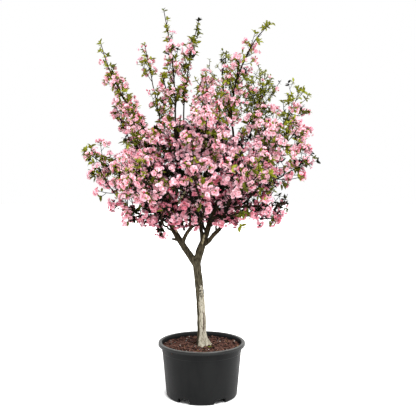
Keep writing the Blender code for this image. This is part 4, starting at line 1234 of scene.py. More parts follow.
def bark_finish():
    made, tree, shader, place = new_finish("crabapple bark", BARK_GLOSS)
    height = put(tree, "ShaderNodeSeparateXYZ", {0: place}).outputs[2]
    drawn = stretched(tree, place, BARK_DRAWN)
    streaks = mottled(tree, drawn, *STREAKS)
    low = blend_of(tree, streaks, BARK_BROWN, BARK_GREY)
    peeled = put(tree, "ShaderNodeAttribute", attribute_name="peeled").outputs["Fac"]
    dark = blend_of(tree, streaks, BOUGH_DARK, BOUGH_BROWN)
    dark = blend_of(tree, mottled(tree, drawn, *PALE_STREAKS), dark, BOUGH_PALE)
    # painted shade: the bark turns to the boughs' near black with height
    upper = blend_of(tree, ramp_between(tree, height, BOUGH_SHADE_FROM, BOUGH_SHADE_TO), low, dark)
    split = mottled(tree, drawn, *SPLITS)
    upper = blend_of(tree, sum_of(tree, "MULTIPLY", peeled, split), upper, PEELED_BROWN)
    cream = blend_of(tree, mottled(tree, drawn, *CREAM_CLOUDS), CREAM, CREAM_GREY)
    flecks = mottled(tree, stretched(tree, place, FLECKS_DRAWN), *FLECKS)
    cream = blend_of(tree, sum_of(tree, "MULTIPLY", flecks, FLECK_SHARE), cream, CREAM_STAIN)
    near_top = ramp_between(tree, height, *TORN_RISE)
    torn = sum_of(tree, "MULTIPLY", near_top, mottled(tree, place, *TORN_PATCHES))
    cream = blend_of(tree, torn, cream, BARK_BROWN)
    cream = blend_of(tree, crack_mask(tree, place), cream, CRACK_RED)
    zone = put(tree, "ShaderNodeAttribute", attribute_name="pale").outputs["Fac"]
    waver = put(tree, "ShaderNodeTexNoise", {"Vector": drawn, "Scale": EDGE_WAVER_SCALE}).outputs[0]
    edge = sum_of(tree, "ADD", zone, sum_of(tree, "SUBTRACT", waver, 0.5))
    pale = ramp_between(tree, edge, *EDGE_RISE)
    tree.links.new(blend_of(tree, pale, upper, cream), shader.inputs["Base Color"])
    smooth, matt = BARK_ROUGHNESS
    rough = put(tree, "ShaderNodeMapRange", {"Value": streaks, "To Min": smooth, "To Max": matt})
    tree.links.new(rough.outputs[0], shader.inputs["Roughness"])
    tree.links.new(relief(tree, drawn, *BARK_GRAIN), shader.inputs["Normal"])
    return made


BARK = bark_finish()
wood.shade_smooth()
wood_nodes = ["trunk", "broken_stub"] + [branch.name + "_bough" for branch in BRANCHES]
finish_piece("trunk_and_boughs", wood, BARK, wood_nodes)

# %% [markdown]
# ## How the foliage grows
# Each mass grows from its bough's tip by the rule of the CAD model: one stem, and twigs that
# leave it at the golden angle, each kept to the space of its own mass. Here the rule is carried
# further. The stems are curved, the twigs are closer together, and they bear short spurs. Every
# spur holds a cluster as the real tree's do: a few flowers on long stalks over a rosette of
# leaves.
#
# The rule alone would fill the crown evenly, and the photo's isn't even. The sky shows through
# it in places. Each such window is an ellipse on the upright plane through the trunk, given by
# its middle and its half sizes across and up, as the photo's camera sees it, and twigs end at
# it. Some limbs and stems show too, so few clusters stand before them.

# %% The space of each mass
WIDEST_AT = 0.4
WIDTH_SPAN = 0.655


def reach_at(branch, share):
    """How far a mass spreads from its axis: widest before its middle, slim at its end."""
    return branch.reach * math.sqrt(max(0.0, 1 - ((share - WIDEST_AT) / WIDTH_SPAN) ** 2))


def nearness(point, branch):
    """Distance from a mass's axis over its reach there: 0 on the axis, 1 at its edge."""
    start, end = Vector(branch.tip), Vector(branch.end)
    axis = end - start
    share = min(1.0, max(0.0, (point - start).dot(axis) / axis.dot(axis)))
    return (point - start.lerp(end, share)).length / reach_at(branch, share)


def in_own_space(point, branch):
    """True where a point is nearer to its own mass than to any other."""
    own = nearness(point, branch)
    return all(other is branch or nearness(point, other) > own for other in BRANCHES)


def side_way(axis, turn, lean):
    """A direction that leans out from an axis by lean, at this turn about it."""
    across = axis.orthogonal().normalized()
    across.rotate(Matrix.Rotation(turn, 3, axis))
    return (axis * math.cos(lean) + across * math.sin(lean)).normalized()


# %% Windows of sky
SKY_WINDOWS = (
    (-0.292, 1.500, 0.042, 0.068),
    (-0.262, 1.412, 0.034, 0.046),
    (-0.226, 1.690, 0.026, 0.032),
    (-0.129, 1.443, 0.030, 0.030),
    (-0.077, 1.452, 0.032, 0.048),
    (-0.139, 1.597, 0.020, 0.022),
    (-0.061, 1.565, 0.020, 0.030),
    (-0.050, 1.685, 0.014, 0.034),
    (-0.108, 1.800, 0.014, 0.075),
    (-0.508, 1.345, 0.070, 0.044),
    (-0.425, 1.311, 0.018, 0.042),
    (-0.620, 1.200, 0.034, 0.044),
    (0.064, 1.778, 0.032, 0.040),
    (0.146, 1.366, 0.020, 0.034),
    (0.392, 1.700, 0.062, 0.062),
    (0.414, 1.578, 0.026, 0.040),
    (0.414, 1.056, 0.026, 0.024),
    (0.632, 1.238, 0.024, 0.030),
    (-0.520, 0.950, 0.060, 0.042),
)


def as_seen(place):
    """Where a place falls on the upright plane through the trunk, seen by the photo's camera."""
    near = CAMERA_PLACE.y / (CAMERA_PLACE.y - place.y)
    return place.x * near, CAMERA_PLACE.z + (place.z - CAMERA_PLACE.z) * near


def in_window(place):
    """True where the photo's camera looks through the crown at the sky."""
    across, height = as_seen(place)
    return any(((across - x) / half) ** 2 + ((height - z) / tall) ** 2 < 1
               for x, z, half, tall in SKY_WINDOWS)


print("windows of sky:", len(SKY_WINDOWS))

# %% [markdown]
# ### Stems
# A stem sets out in the direction of its bough and curves to the far end of its mass. An
# even curve would look drawn, so noise lets it waver a little. The spires of the photo each
# lean in their own way: a row of bends moves the middle of a curve, then its end.

# %% Stems
STEM_STEPS = 14
STEM_SIDES = 8
STEM_FIT = 0.95
STEM_SET_OUT = 0.2
STEM_CURL_AT = 0.55
STEM_TIP_RADIUS = 0.0019
STEM_TAPER_POWER = 0.75
STEM_ROOT_SINK = 0.012
STEM_WAVER = 0.004
STEM_LOOK = 0.04
WAVER_SCALE = 14
WAVER_PLACES = (Vector((0.0, 0.0, 0.0)), Vector((7.3, 1.9, 4.1)), Vector((2.7, 8.5, 5.9)))
STEM_BENDS = {
    "middle": (Vector((0.080, 0.0, 0.0)), Vector((-0.008, 0.0, 0.018))),
    "fourth_spire": (Vector((-0.045, 0.0, 0.0)), Vector((0.020, 0.0, 0.016))),
    "left_spire": (Vector((0.010, 0.0, 0.0)), Vector((-0.016, 0.0, 0.0))),
    "right_shoulder": (Vector(), Vector((0.028, 0.0, -0.012))),
    "second_spire": (Vector((0.034, 0.0, 0.0)), Vector((0.004, 0.0, 0.006))),
}
NO_BEND = (Vector(), Vector())


class Stem:
    """The stem of a mass: a curve that sets out as its bough ends, and tapers to its far end."""

    def __init__(self, branch):
        centres, radii = lines[branch.name]
        onward = (centres[-1] - centres[-2]).normalized()
        bend, shift = STEM_BENDS.get(branch.name, NO_BEND)
        start, end = centres[-1], Vector(branch.end) + shift
        span = end - start
        curl = Vector((span.x, span.y, -span.z)) * branch.curl
        self.marks = [start, start + onward * span.length * STEM_SET_OUT,
                      start.lerp(end, STEM_CURL_AT) + curl + bend, end]
        self.length = span.length
        self.radius = radii[-1] * STEM_FIT

    def point(self, share):
        """The point at this share of the curve, found by drawing its marks together."""
        marks = self.marks
        while len(marks) > 1:
            marks = [a.lerp(b, share) for a, b in zip(marks, marks[1:])]
        waver = Vector([noise.noise(marks[0] * WAVER_SCALE + other) for other in WAVER_PLACES])
        return marks[0] + waver * STEM_WAVER * math.sin(math.pi * share)

    def way(self, share):
        """The direction of the stem there."""
        after, before = min(1.0, share + STEM_LOOK), max(0.0, share - STEM_LOOK)
        return (self.point(after) - self.point(before)).normalized()

    def radius_at(self, share):
        return STEM_TIP_RADIUS + (self.radius - STEM_TIP_RADIUS) * (1 - share) ** STEM_TAPER_POWER

    def path(self):
        """Points and radii of the whole stem, which starts a little inside its bough."""
        shares = [i / STEM_STEPS for i in range(STEM_STEPS + 1)]
        points = [self.point(0.0) - self.way(0.0) * STEM_ROOT_SINK]
        points += [self.point(share) for share in shares]
        return points, [self.radius] + [self.radius_at(share) for share in shares]


stems = {branch.name: Stem(branch) for branch in BRANCHES}
stem_bm = bmesh.new()
for stem in stems.values():
    extrude_limb(stem_bm, *stem.path(), STEM_SIDES)
bmesh.ops.recalc_face_normals(stem_bm, faces=stem_bm.faces)
stem_mesh = mesh_from(stem_bm, "stems")
stem_mesh.shade_smooth()
keep_values(stem_mesh, "pale", [-1.0] * len(stem_mesh.vertices))
keep_values(stem_mesh, "peeled", [0.0] * len(stem_mesh.vertices))
mass_nodes = [branch.name + "_mass" for branch in BRANCHES]
print("stem points:", len(stem_mesh.vertices))

# %% Wood that the photo shows
SHOWN_LIMBS = ("left", "right", "inner_left", "middle", "right_low", "right_side", "left_low")
WOOD_SHOWS_BELOW = 1.05
WOOD_SHOWS_WITHIN = 0.034
SHOWN_STEMS = {"middle": (0.05, 0.78, 0.020), "right_spire": (0.30, 0.90, 0.018)}
SHOWN_STEPS = 40


def shown_wood():
    """The wood that the photo shows: where each point is seen, how near it is and how clear."""
    points = [(centre, WOOD_SHOWS_WITHIN) for name in SHOWN_LIMBS
              for centre in smooth_line(*lines[name])[0] if centre.z < WOOD_SHOWS_BELOW]
    for name, (first, last, within) in SHOWN_STEMS.items():
        shares = [first + (last - first) * i / SHOWN_STEPS for i in range(SHOWN_STEPS + 1)]
        points += [(stems[name].point(share), within) for share in shares]
    return np.array([(*as_seen(centre), centre.y, within) for centre, within in points])


def before_wood(place):
    """True where a cluster would stand before wood that the photo shows."""
    across, height = as_seen(place)
    away = (SHOWN_WOOD[:, 0] - across) ** 2 + (SHOWN_WOOD[:, 1] - height) ** 2
    return bool(((away < SHOWN_WOOD[:, 3] ** 2) & (place.y < SHOWN_WOOD[:, 2])).any())


SHOWN_WOOD = shown_wood()
print("points of wood that shows:", len(SHOWN_WOOD))

# %% [markdown]
# ### Twigs, spurs and shoots
# Slim spires, green growth and masses of blossom differ in how close, how long and how steep
# their twigs are. Some spires bear only leaves at their tip and fewer twigs at their tip or
# foot: a row gives the share of the stem where that part begins or ends, then the share of
# twigs that it keeps. Short shoots stand on the boughs themselves.

# %% Paths and spurs
GREEN_BELOW = 0.5
SLIM_BELOW = 0.1
TWIG_RISE = 0.22
TWIG_STEPS = 4
SPUR_LENGTH = (0.006, 0.014)
SPUR_RADIUS = 0.0013


def kind_of(branch):
    """A slim spire, airy green growth or a mass of blossom."""
    if branch.reach < SLIM_BELOW:
        return "slim"
    return "green" if branch.blossom < GREEN_BELOW else "blossom"


def add_segments(path, radii):
    """Keeps each stretch of a twig, with the radius at its start."""
    for start, end, radius in zip(path, path[1:], radii):
        segments.append((start, end, radius))


def add_spur(branch, root, way, share, rng):
    """A short spur, and at its tip a place for a cluster, where the mass has room."""
    tip = root + way * rng.uniform(*SPUR_LENGTH)
    if in_own_space(tip, branch) and not in_window(tip):
        segments.append((root, tip, SPUR_RADIUS))
        spurs.append((tip, way, branch, share))


def twig_points(root, way, length):
    """A twig that bends a little upwards as it grows."""
    shares = [i / TWIG_STEPS for i in range(TWIG_STEPS + 1)]
    return [root + way * length * s + UP * TWIG_RISE * length * s * s for s in shares]


def kept_path(branch, path):
    """The part of a path that stays in its mass's own space and out of the windows."""
    kept = [path[0]]
    for point in path[1:]:
        if not in_own_space(point, branch) or in_window(point):
            break
        kept.append(point)
    return kept


segments = []
spurs = []

# %% A twig with its spurs
EDGE_ROOM = {"blossom": 0.030, "green": 0.022, "slim": 0.034}
TWIG_LEAN = {"blossom": (40, 64), "green": (30, 58), "slim": (24, 50)}
TWIG_LENGTHS = {"blossom": (0.55, 1.05), "green": (0.70, 1.22), "slim": (0.50, 1.05)}
TWIG_RADII = (0.0032, 0.0015)
TWIG_OF_STEM = 0.7
SHORTEST_TWIG = 0.012
SIDE_TWIG_FROM = 0.062
SIDE_TWIG_LENGTH = (0.024, 0.046)
SPUR_SPACING = {"blossom": 0.036, "green": 0.018, "slim": 0.024}
FIRST_SPUR = 0.8
SPURS_ABOVE = 0.12
SPUR_LEAN = math.radians(62)


def grow_twig(branch, stem, share, turn, rng):
    """A twig of a stem, with side twigs if it is long, and spurs. Where it has no room, a spur."""
    root, axis = stem.point(share), stem.way(share)
    lean = math.radians(rng.uniform(*TWIG_LEAN[kind_of(branch)]))
    room = max(0.0, reach_at(branch, share) - EDGE_ROOM[kind_of(branch)])
    length = room / math.sin(lean) * rng.uniform(*TWIG_LENGTHS[kind_of(branch)])
    way = side_way(axis, turn, lean)
    path = kept_path(branch, twig_points(root, way, length)) if length > SHORTEST_TWIG else [root]
    if len(path) < 2:
        add_spur(branch, root, way, share, rng)
        return
    thick = min(TWIG_RADII[0], TWIG_OF_STEM * stem.radius_at(share))
    radii = [thick + (TWIG_RADII[1] - thick) * i / (len(path) - 1) for i in range(len(path))]
    add_segments(path, radii)
    real = sum((b - a).length for a, b in zip(path, path[1:]))
    onward = (path[-1] - path[-2]).normalized()
    add_spur(branch, path[-1], onward, share, rng)
    spacing = SPUR_SPACING[kind_of(branch)]
    for index in range(int(real / spacing)):
        at = 1 - (index + FIRST_SPUR) * spacing / real
        if at < SPURS_ABOVE:
            break
        point = along(path, at)
        out = side_way(onward, turn + GOLDEN_TURN * (index + 1), SPUR_LEAN)
        if real > SIDE_TWIG_FROM and index % 2 == 0:
            side = twig_points(point, out, rng.uniform(*SIDE_TWIG_LENGTH))
            side = kept_path(branch, side)
            if len(side) > 2:
                add_segments(side, [TWIG_RADII[1]] * len(side))
                add_spur(branch, side[-1], (side[-1] - side[-2]).normalized(), share, rng)
                continue
        add_spur(branch, point, out, share, rng)


# %% The twigs of a mass
TWIG_SPACING = {"blossom": 0.018, "green": 0.013, "slim": 0.019}
TWIGS_ALONG = (0.04, 0.95)
TWIG_SCATTER = 0.3
STEM_ENDS = (0.01, 0.99)
SPIRE_TIPS = {"left_spire": (0.92, 0.9), "second_spire": (0.92, 0.8), "fourth_spire": (0.80, 0.8),
              "right_spire": (0.68, 0.38), "right_shoulder": (0.64, 1.0), "green_fan": (0.80, 0.45),
              "green_side": (0.85, 0.6)}
SPIRE_FEET = {"middle": (0.58, 0.80), "second_spire": (0.70, 0.60)}
TIP_THINS_BEFORE = 0.1


def kept_share(branch, share):
    """Which share of the twigs a mass keeps at this share of its stem."""
    leaves_from, kept_high = SPIRE_TIPS.get(branch.name, (1.0, 1.0))
    foot_ends, kept_low = SPIRE_FEET.get(branch.name, (0.0, 1.0))
    if share > leaves_from - TIP_THINS_BEFORE:
        return kept_high
    return kept_low if share < foot_ends else 1.0


def grow_mass(branch):
    """The twigs of one mass, all round its stem, and the spur at its end."""
    rng = random.Random("fine " + branch.name)
    stem = stems[branch.name]
    turn = rng.uniform(0.0, math.tau)
    count = round(stem.length / TWIG_SPACING[kind_of(branch)])
    first, last = TWIGS_ALONG
    for index in range(count):
        place = index + rng.uniform(-TWIG_SCATTER, TWIG_SCATTER)
        share = first + (last - first) * place / (count - 1)
        if rng.random() > kept_share(branch, share):
            continue
        share = min(STEM_ENDS[1], max(STEM_ENDS[0], share))
        grow_twig(branch, stem, share, turn + GOLDEN_TURN * index, rng)
    add_spur(branch, stem.point(1.0), stem.way(1.0), 1.0, rng)


# %% Shoots on the boughs
SHOOT_SPACING = 0.016
SHOOT_LENGTH = (0.035, 0.085)
SHOOT_LEAN = (math.radians(55), math.radians(95))
SHOOTS_ABOVE = 0.885
SHOOT_LOOK = 0.05
SHORTEST_LOOK = 0.001


def grow_shoots(branch):
    """Short shoots that stand out from the upper part of the bough itself."""
    rng = random.Random("shoots " + branch.name)
    path = smooth_line(*lines[branch.name])[0]
    turn = rng.uniform(0.0, math.tau)
    count = round(sum((b - a).length for a, b in zip(path, path[1:])) / SHOOT_SPACING)
    for index in range(count):
        share = (index + rng.random()) / count
        root, onward = along(path, share), along(path, min(1.0, share + SHOOT_LOOK))
        if root.z < SHOOTS_ABOVE or (onward - root).length < SHORTEST_LOOK:
            continue
        axis, turned = (onward - root).normalized(), turn + GOLDEN_TURN * index
        way = side_way(axis, turned, rng.uniform(*SHOOT_LEAN))
        shoot = twig_points(root, way, rng.uniform(*SHOOT_LENGTH))
        if any(in_window(point) or point.z < SHOOTS_ABOVE for point in shoot):
            continue
        add_segments(shoot, [TWIG_RADII[0], *[TWIG_RADII[1]] * TWIG_STEPS])
        for place, before in ((shoot[-1], shoot[-2]), (shoot[2], shoot[1])):
            spurs.append((place, (place - before).normalized(), branch, 0.0))


# %% [markdown]
# ### Sprays placed one by one
# In a few places the photo has a twig where the rule puts none: under the crown, between the
# spires and at the outline. Each row names a mass, gives the marks that its twig passes, and
# how full it is.

# %% Sprays placed one by one
SPRAY_SPACING = 0.015
SPRAY_SIDE = (0.016, 0.046)
SPRAY_LEAN = (math.radians(35), math.radians(80))
SPRAY_END = 0.96
SPRAY_LOOK = 0.04
SPRAYS = (
    ("left_under", ((-0.197, -0.100, 0.890), (-0.206, -0.100, 0.872), (-0.208, -0.095, 0.850)), 0.6),
    ("left_low", ((-0.290, -0.050, 0.925), (-0.325, -0.055, 0.922), (-0.354, -0.060, 0.916)), 0.8),
    ("left_under", ((-0.240, -0.070, 0.905), (-0.268, -0.090, 0.922), (-0.282, -0.110, 0.934)), 0.8),
    ("left_side", ((-0.470, -0.020, 1.100), (-0.520, -0.020, 1.122), (-0.566, -0.020, 1.146)), 1.0),
    ("left_front", ((-0.150, -0.040, 0.930), (-0.120, -0.080, 0.950), (-0.092, -0.100, 0.966)), 0.8),
    ("inner_front", ((-0.004, -0.190, 0.917), (-0.030, -0.175, 0.926), (-0.052, -0.165, 0.944)), 0.9),
    ("fourth_spire", ((-0.070, 0.060, 1.370), (-0.015, 0.050, 1.440), (0.006, 0.040, 1.530),
                      (0.018, 0.030, 1.620)), 0.9),
    ("right_shoulder", ((0.232, 0.050, 1.300), (0.262, 0.020, 1.375), (0.276, 0.000, 1.440)), 1.0),
    ("right_shoulder", ((0.490, 0.030, 1.280), (0.525, 0.020, 1.325), (0.545, 0.020, 1.370)), 0.8),
    ("right_under", ((0.100, -0.140, 0.914), (0.130, -0.165, 0.906), (0.158, -0.180, 0.906)), 0.7),
    ("right_low", ((0.225, -0.100, 0.930), (0.295, -0.105, 0.916), (0.365, -0.110, 0.914)), 0.9),
    ("middle", ((-0.140, 0.030, 1.500), (-0.182, 0.030, 1.575), (-0.205, 0.020, 1.650)), 0.7),
    ("left_front", ((-0.140, -0.060, 0.930), (-0.132, -0.070, 0.905), (-0.126, -0.070, 0.880)), 0.5),
    ("inner_front", ((-0.040, -0.100, 0.930), (-0.052, -0.080, 0.910), (-0.062, -0.060, 0.890)), 0.5),
    ("left_shoulder", ((-0.400, 0.110, 1.375), (-0.440, 0.100, 1.440), (-0.462, 0.100, 1.510)), 0.8),
    ("green_fan", ((0.112, 0.270, 1.700), (0.130, 0.270, 1.770), (0.140, 0.270, 1.825)), 1.0),
    ("left_side", ((-0.560, 0.000, 1.232), (-0.585, 0.000, 1.246), (-0.608, 0.000, 1.262)), 0.4),
)

sprays = []


def grow_spray(name, marks, fullness):
    """One more twig of a mass, along these marks, with side twigs that bear clusters."""
    rng = random.Random(f"spray {name} {marks[0]}")
    branch = next(row for row in BRANCHES if row.name == name)
    path, radii = smooth_line([Vector(mark) for mark in marks], [TWIG_RADII[0]] * len(marks))
    add_segments(path, radii)
    length = sum((b - a).length for a, b in zip(path, path[1:]))
    count = round(length / SPRAY_SPACING * fullness) + 1
    for index in range(count):
        share = (index + rng.random()) / count
        root = along(path, share * SPRAY_END)
        onward = along(path, share * SPRAY_END + SPRAY_LOOK)
        way = side_way((onward - root).normalized(), GOLDEN_TURN * index, rng.uniform(*SPRAY_LEAN))
        side = twig_points(root, way, rng.uniform(*SPRAY_SIDE))
        add_segments(side, [TWIG_RADII[1]] * len(side))
        sprays.append((side[-1], (side[-1] - side[-2]).normalized(), branch, 0.0))
    sprays.append((path[-1], (path[-1] - path[-2]).normalized(), branch, 0.0))


for branch in BRANCHES:
    grow_mass(branch)
    grow_shoots(branch)
for row in SPRAYS:
    grow_spray(*row)
print("twig segments:", len(segments), "clusters:", len(spurs))

# %% [markdown]
# ## Flowers, buds and leaves
# A flower of this tree is half double: five broad cupped petals, some smaller ones inside and a
# yellow tuft, on a long thin stalk. Petals could be cut from an image with transparency, but an
# outline of real faces stays sharp from near and needs no picture. One petal is a small grid
# whose rows are narrowed and lifted, and it is turned about the middle. A leaf is a grid
# folded along its rib. To shade them later, each point of a petal keeps a value that runs from
# 0 at its root to 1 at its tip, and each point of a leaf one from 0 at its edge to 1 on its rib.

# %% Petals and flowers
OUTER_PETALS = 5
INNER_PETALS = 4
PETALS = {"outer": (0.50, 0.34, (0.16, 0.96, 0.62)), "inner": (0.34, 0.90, (0.30, 0.95))}
PETAL_LIFTS = (0.6, 1.4)
PETAL_LENGTHS = (0.9, 1.1)
PETAL_SKEW = 0.12
PETAL_RAGGED = 0.10
PETAL_NOTCH = (-0.02, 0.16)
PETAL_TIP = 0.9
PETAL_ROOT = 0.08
PETAL_CUP = 0.16
PETAL_CURVE = 1.4
PETAL_LEANS_IN = 0.6
PETAL_BREADTH = 0.56
OUTER_SCATTER, INNER_SCATTER = 0.12, 0.25
FLOWER_SHAPES = 8


def add_petal(bm, length, lift, rows, turn, rng):
    """A petal out along +X from the middle, cupped and uneven, then turned about +Z."""
    shade = bm.verts.layers.float["shade"]
    steps = len(rows) - 1
    grid = bmesh.ops.create_grid(bm, x_segments=steps, y_segments=2, size=0.5)["verts"]
    tilt = lift * rng.uniform(*PETAL_LIFTS)
    length *= rng.uniform(*PETAL_LENGTHS)
    skew = rng.uniform(-PETAL_SKEW, PETAL_SKEW)
    for vert in grid:
        along_it, across = vert.co.x + 0.5, vert.co.y * 2
        row = rows[round(along_it * steps)] + rng.uniform(-PETAL_RAGGED, PETAL_RAGGED)
        tip = along_it - rng.uniform(*PETAL_NOTCH) * (along_it > PETAL_TIP)
        reach = length * (PETAL_ROOT + (1 - PETAL_ROOT) * tip)
        cup = (PETAL_CUP + skew * across) * length * across ** 2 * along_it
        rise = length * tilt * along_it ** PETAL_CURVE + cup
        inwards = math.cos(tilt * PETAL_LEANS_IN)
        vert.co = (reach * inwards, across * row * length * PETAL_BREADTH, rise)
        vert[shade] = along_it
    bmesh.ops.rotate(bm, verts=grid, cent=(0, 0, 0), matrix=Matrix.Rotation(turn, 3, "Z"))


def flower_unit(seed):
    """An open flower one unit across that faces +Z, with its back at the origin."""
    rng = random.Random(seed)
    bm = bmesh.new()
    shade = bm.verts.layers.float.new("shade")
    for index in range(OUTER_PETALS):
        turn = math.tau * (index + rng.uniform(-OUTER_SCATTER, OUTER_SCATTER)) / OUTER_PETALS
        add_petal(bm, *PETALS["outer"], turn, rng)
    for index in range(INNER_PETALS):
        between = index + 0.5 + rng.uniform(-INNER_SCATTER, INNER_SCATTER)
        add_petal(bm, *PETALS["inner"], math.tau * between / INNER_PETALS, rng)
    return unit_from(bm, lambda vert: vert[shade])


FLOWERS = [flower_unit(seed) for seed in range(FLOWER_SHAPES)]
print("triangles in a flower:", len(FLOWERS[0][1]))

# %% Buds, leaves and rods
BUD_SIDES, BUD_STEPS = 5, 3
BUD_SHOULDER = 0.6
BUD_BREADTH, BUD_TIP_BREADTH = 0.75, 0.6
LEAF_ROWS = (0.10, 0.80, 1.0, 0.62, 0.04)
SMALL_LEAF_ROWS = (0.10, 1.0, 0.05)
LEAF_HALF_WIDTH = 0.25
LEAF_FOLD = 0.30
LEAF_DROOP = 0.16
TWIG_ROD, STALK_ROD, TUFT_ROD = (4, 0.85), (3, 0.9), (3, 0.6)


def bud_unit():
    """A closed bud one unit long, pointed at its tip."""
    bm = bmesh.new()
    bmesh.ops.create_uvsphere(bm, u_segments=BUD_SIDES, v_segments=BUD_STEPS, radius=0.5,
                              matrix=Matrix.Translation((0, 0, 0.5)))
    for vert in bm.verts:
        vert.co.xy *= BUD_BREADTH if vert.co.z < BUD_SHOULDER else BUD_TIP_BREADTH
    return unit_from(bm, lambda vert: vert.co.z)


def leaf_unit(widths):
    """A leaf one unit long up +Z, folded along its rib, with its upper side towards +Y."""
    bm = bmesh.new()
    rows = len(widths) - 1
    grid = bmesh.ops.create_grid(bm, x_segments=2, y_segments=rows, size=0.5)["verts"]
    for vert in grid:
        across, along_it = vert.co.x * 2, vert.co.y + 0.5
        half = LEAF_HALF_WIDTH * widths[round(along_it * rows)]
        rise = LEAF_FOLD * half * abs(across) - LEAF_DROOP * along_it ** 2
        vert.co = (across * half, rise, along_it)
    return unit_from(bm, lambda vert: 1.0 - min(1.0, abs(vert.co.x) / LEAF_HALF_WIDTH))


def rod_unit(sides, taper):
    """A closed tapering rod one unit long up +Z, one unit in radius at its foot."""
    bm = bmesh.new()
    bmesh.ops.create_cone(bm, cap_ends=True, segments=sides, radius1=1.0, radius2=taper, depth=1.0,
                          matrix=Matrix.Translation((0, 0, 0.5)))
    return unit_from(bm)


BUD, LEAF, SMALL_LEAF = bud_unit(), leaf_unit(LEAF_ROWS), leaf_unit(SMALL_LEAF_ROWS)
TWIG, STALK, TUFT = rod_unit(*TWIG_ROD), rod_unit(*STALK_ROD), rod_unit(*TUFT_ROD)
print("triangles in a leaf:", len(LEAF[1]))

# %% [markdown]
# ### Where they go
# The crown isn't evenly filled. Near the trunk the old wood bears fewer clusters, and most of
# those that would hide wood that the photo shows are left out. Deep inside, the flowers are
# fewer. Deep inside and low down, the leaves are darker and the flowers redder: painted shade.
# Higher up the pinks are paler: painted light. The tops of the long spires carry tufts of young
# leaves with few flowers or none.

# %% Where the wood stays bare
CROWN_MIDDLE = Vector((0.0, 0.0, 1.12))
CROWN_REACH = Vector((0.56, 0.48, 0.36))
BARE_AXIS = Vector((0.01, 0.02, 0.0))
BARE_REACH = 0.15
BARE_TOP = 1.02
BARE_FADE = 0.3
BARE_STRENGTH = 1.6
BARE_SHARE = 0.5
WOOD_SHOWN_SHARE = 0.92


def depth_in_crown(place):
    """1 in the middle of the crown, 0 at its outside and beyond."""
    away = place - CROWN_MIDDLE
    return max(0.0, 1 - Vector(a / b for a, b in zip(away, CROWN_REACH)).length)


def bareness(place):
    """How bare the old wood is: most near the trunk's line and low in the crown."""
    away = (place - BARE_AXIS).xy.length / BARE_REACH
    height = (BARE_TOP - place.z) / BARE_FADE
    near = max(0.0, min(1.0, BARE_STRENGTH * (1 - away)))
    return BARE_SHARE * near * max(0.0, min(1.0, height))


def is_kept_bare(tip, rng):
    """True for some spurs on old wood, and for most that would hide wood the photo shows."""
    return rng.random() < bareness(tip) or (before_wood(tip) and rng.random() < WOOD_SHOWN_SHARE)


# %% Tones of a cluster
TONES = 4
TONE_NOISE = 0.45
TONE_SPAN = 1.9
# pinks paler higher up as painted light, deeper inside the crown as painted shade
PINK_LIT_FROM, PINK_LIT_OVER = 0.88, 0.34
PINK_SHADE_BY_DEPTH = 0.8
PINK_CLOUDS = (0.7, 9)
# leaves darker deeper in the crown and below its middle: painted shade
LEAF_SHADE_BY_DEPTH = 2.0
LEAF_CLOUDS = (0.9, 7)
LEAF_NOISE = 0.35
LEAF_TONE_STEPS = (0.22, 0.76)
LEAF_SHADE_BELOW = 1.16
LEAF_SHADE_LOW = 2.6


def flower_tone(place, depth, rng):
    """Which pink: deeper low and deep in the crown as painted shade, paler higher up as painted light.
    """
    strength, finer = PINK_CLOUDS
    value = (place.z - PINK_LIT_FROM) / PINK_LIT_OVER - PINK_SHADE_BY_DEPTH * depth
    value += strength * noise.noise(place * finer)
    value += rng.gauss(0.0, TONE_NOISE)
    return min(TONES - 1, max(0, int((1.0 - value) * TONES / TONE_SPAN)))


def leaf_tone(place, depth, rng):
    """Which green: yellow-green outside and at the top as painted light, darker deep in the crown and
    low down as painted shade.
    """
    strength, finer = LEAF_CLOUDS
    value = LEAF_SHADE_BY_DEPTH * depth + strength * noise.noise(place * finer)
    value += rng.gauss(0.0, LEAF_NOISE)
    value += max(0.0, LEAF_SHADE_BELOW - place.z) * LEAF_SHADE_LOW
    return sum(value >= step for step in LEAF_TONE_STEPS)


# %% Leaves of a cluster
LEAF_LENGTH = (0.021, 0.038)
TIP_LEAF_LOSS = 0.28
LEAF_LEAN = (math.radians(40), math.radians(85))
LEAF_RISE = (-0.1, 0.3)
LEAF_ROLL, SMALL_LEAF_ROLL = 0.5, 0.6
GREEN_LEAF_SCALE = 0.66
LEAF_SET_BACK = 0.018


def add_leaves(tip, way, share, count, kind, tone, rng):
    """A rosette of leaves, smaller towards the end of a stem and smallest on green growth."""
    turn = rng.uniform(0.0, math.tau)
    for index in range(count):
        out = side_way(way, turn + GOLDEN_TURN * index, rng.uniform(*LEAF_LEAN))
        out = (out + UP * rng.uniform(*LEAF_RISE)).normalized()
        length = rng.uniform(*LEAF_LENGTH) * (1 - TIP_LEAF_LOSS * share ** 3)
        root = tip - way * rng.uniform(0.0, LEAF_SET_BACK)
        if kind == "green":
            roll = rng.gauss(0.0, SMALL_LEAF_ROLL)
            small_leaves[tone].append((root, out, roll, length * GREEN_LEAF_SCALE))
        else:
            leaves[tone].append((root, out, rng.gauss(0.0, LEAF_ROLL), length))


leaves = {tone: [] for tone in range(len(LEAF_TONE_STEPS) + 1)}
small_leaves = {tone: [] for tone in leaves}

# %% Flowers and buds of a cluster
FLOWER_WIDTH = (0.019, 0.027)
FLOWERS_EACH = {"blossom": (4, 7), "slim": (2, 4), "green": (1, 2)}
STALK_LENGTH = (0.012, 0.026)
CLUSTER_SPREAD = (math.radians(15), math.radians(75))
CLUSTER_SAG = 0.20
FACE_SCATTER = 0.25
NEXT_TONES = (-1, 0, 0, 1)
BUD_LENGTH = (0.009, 0.014)
BUDS_EACH = (0, 2)
BUD_SPREAD = (0.2, 1.2)


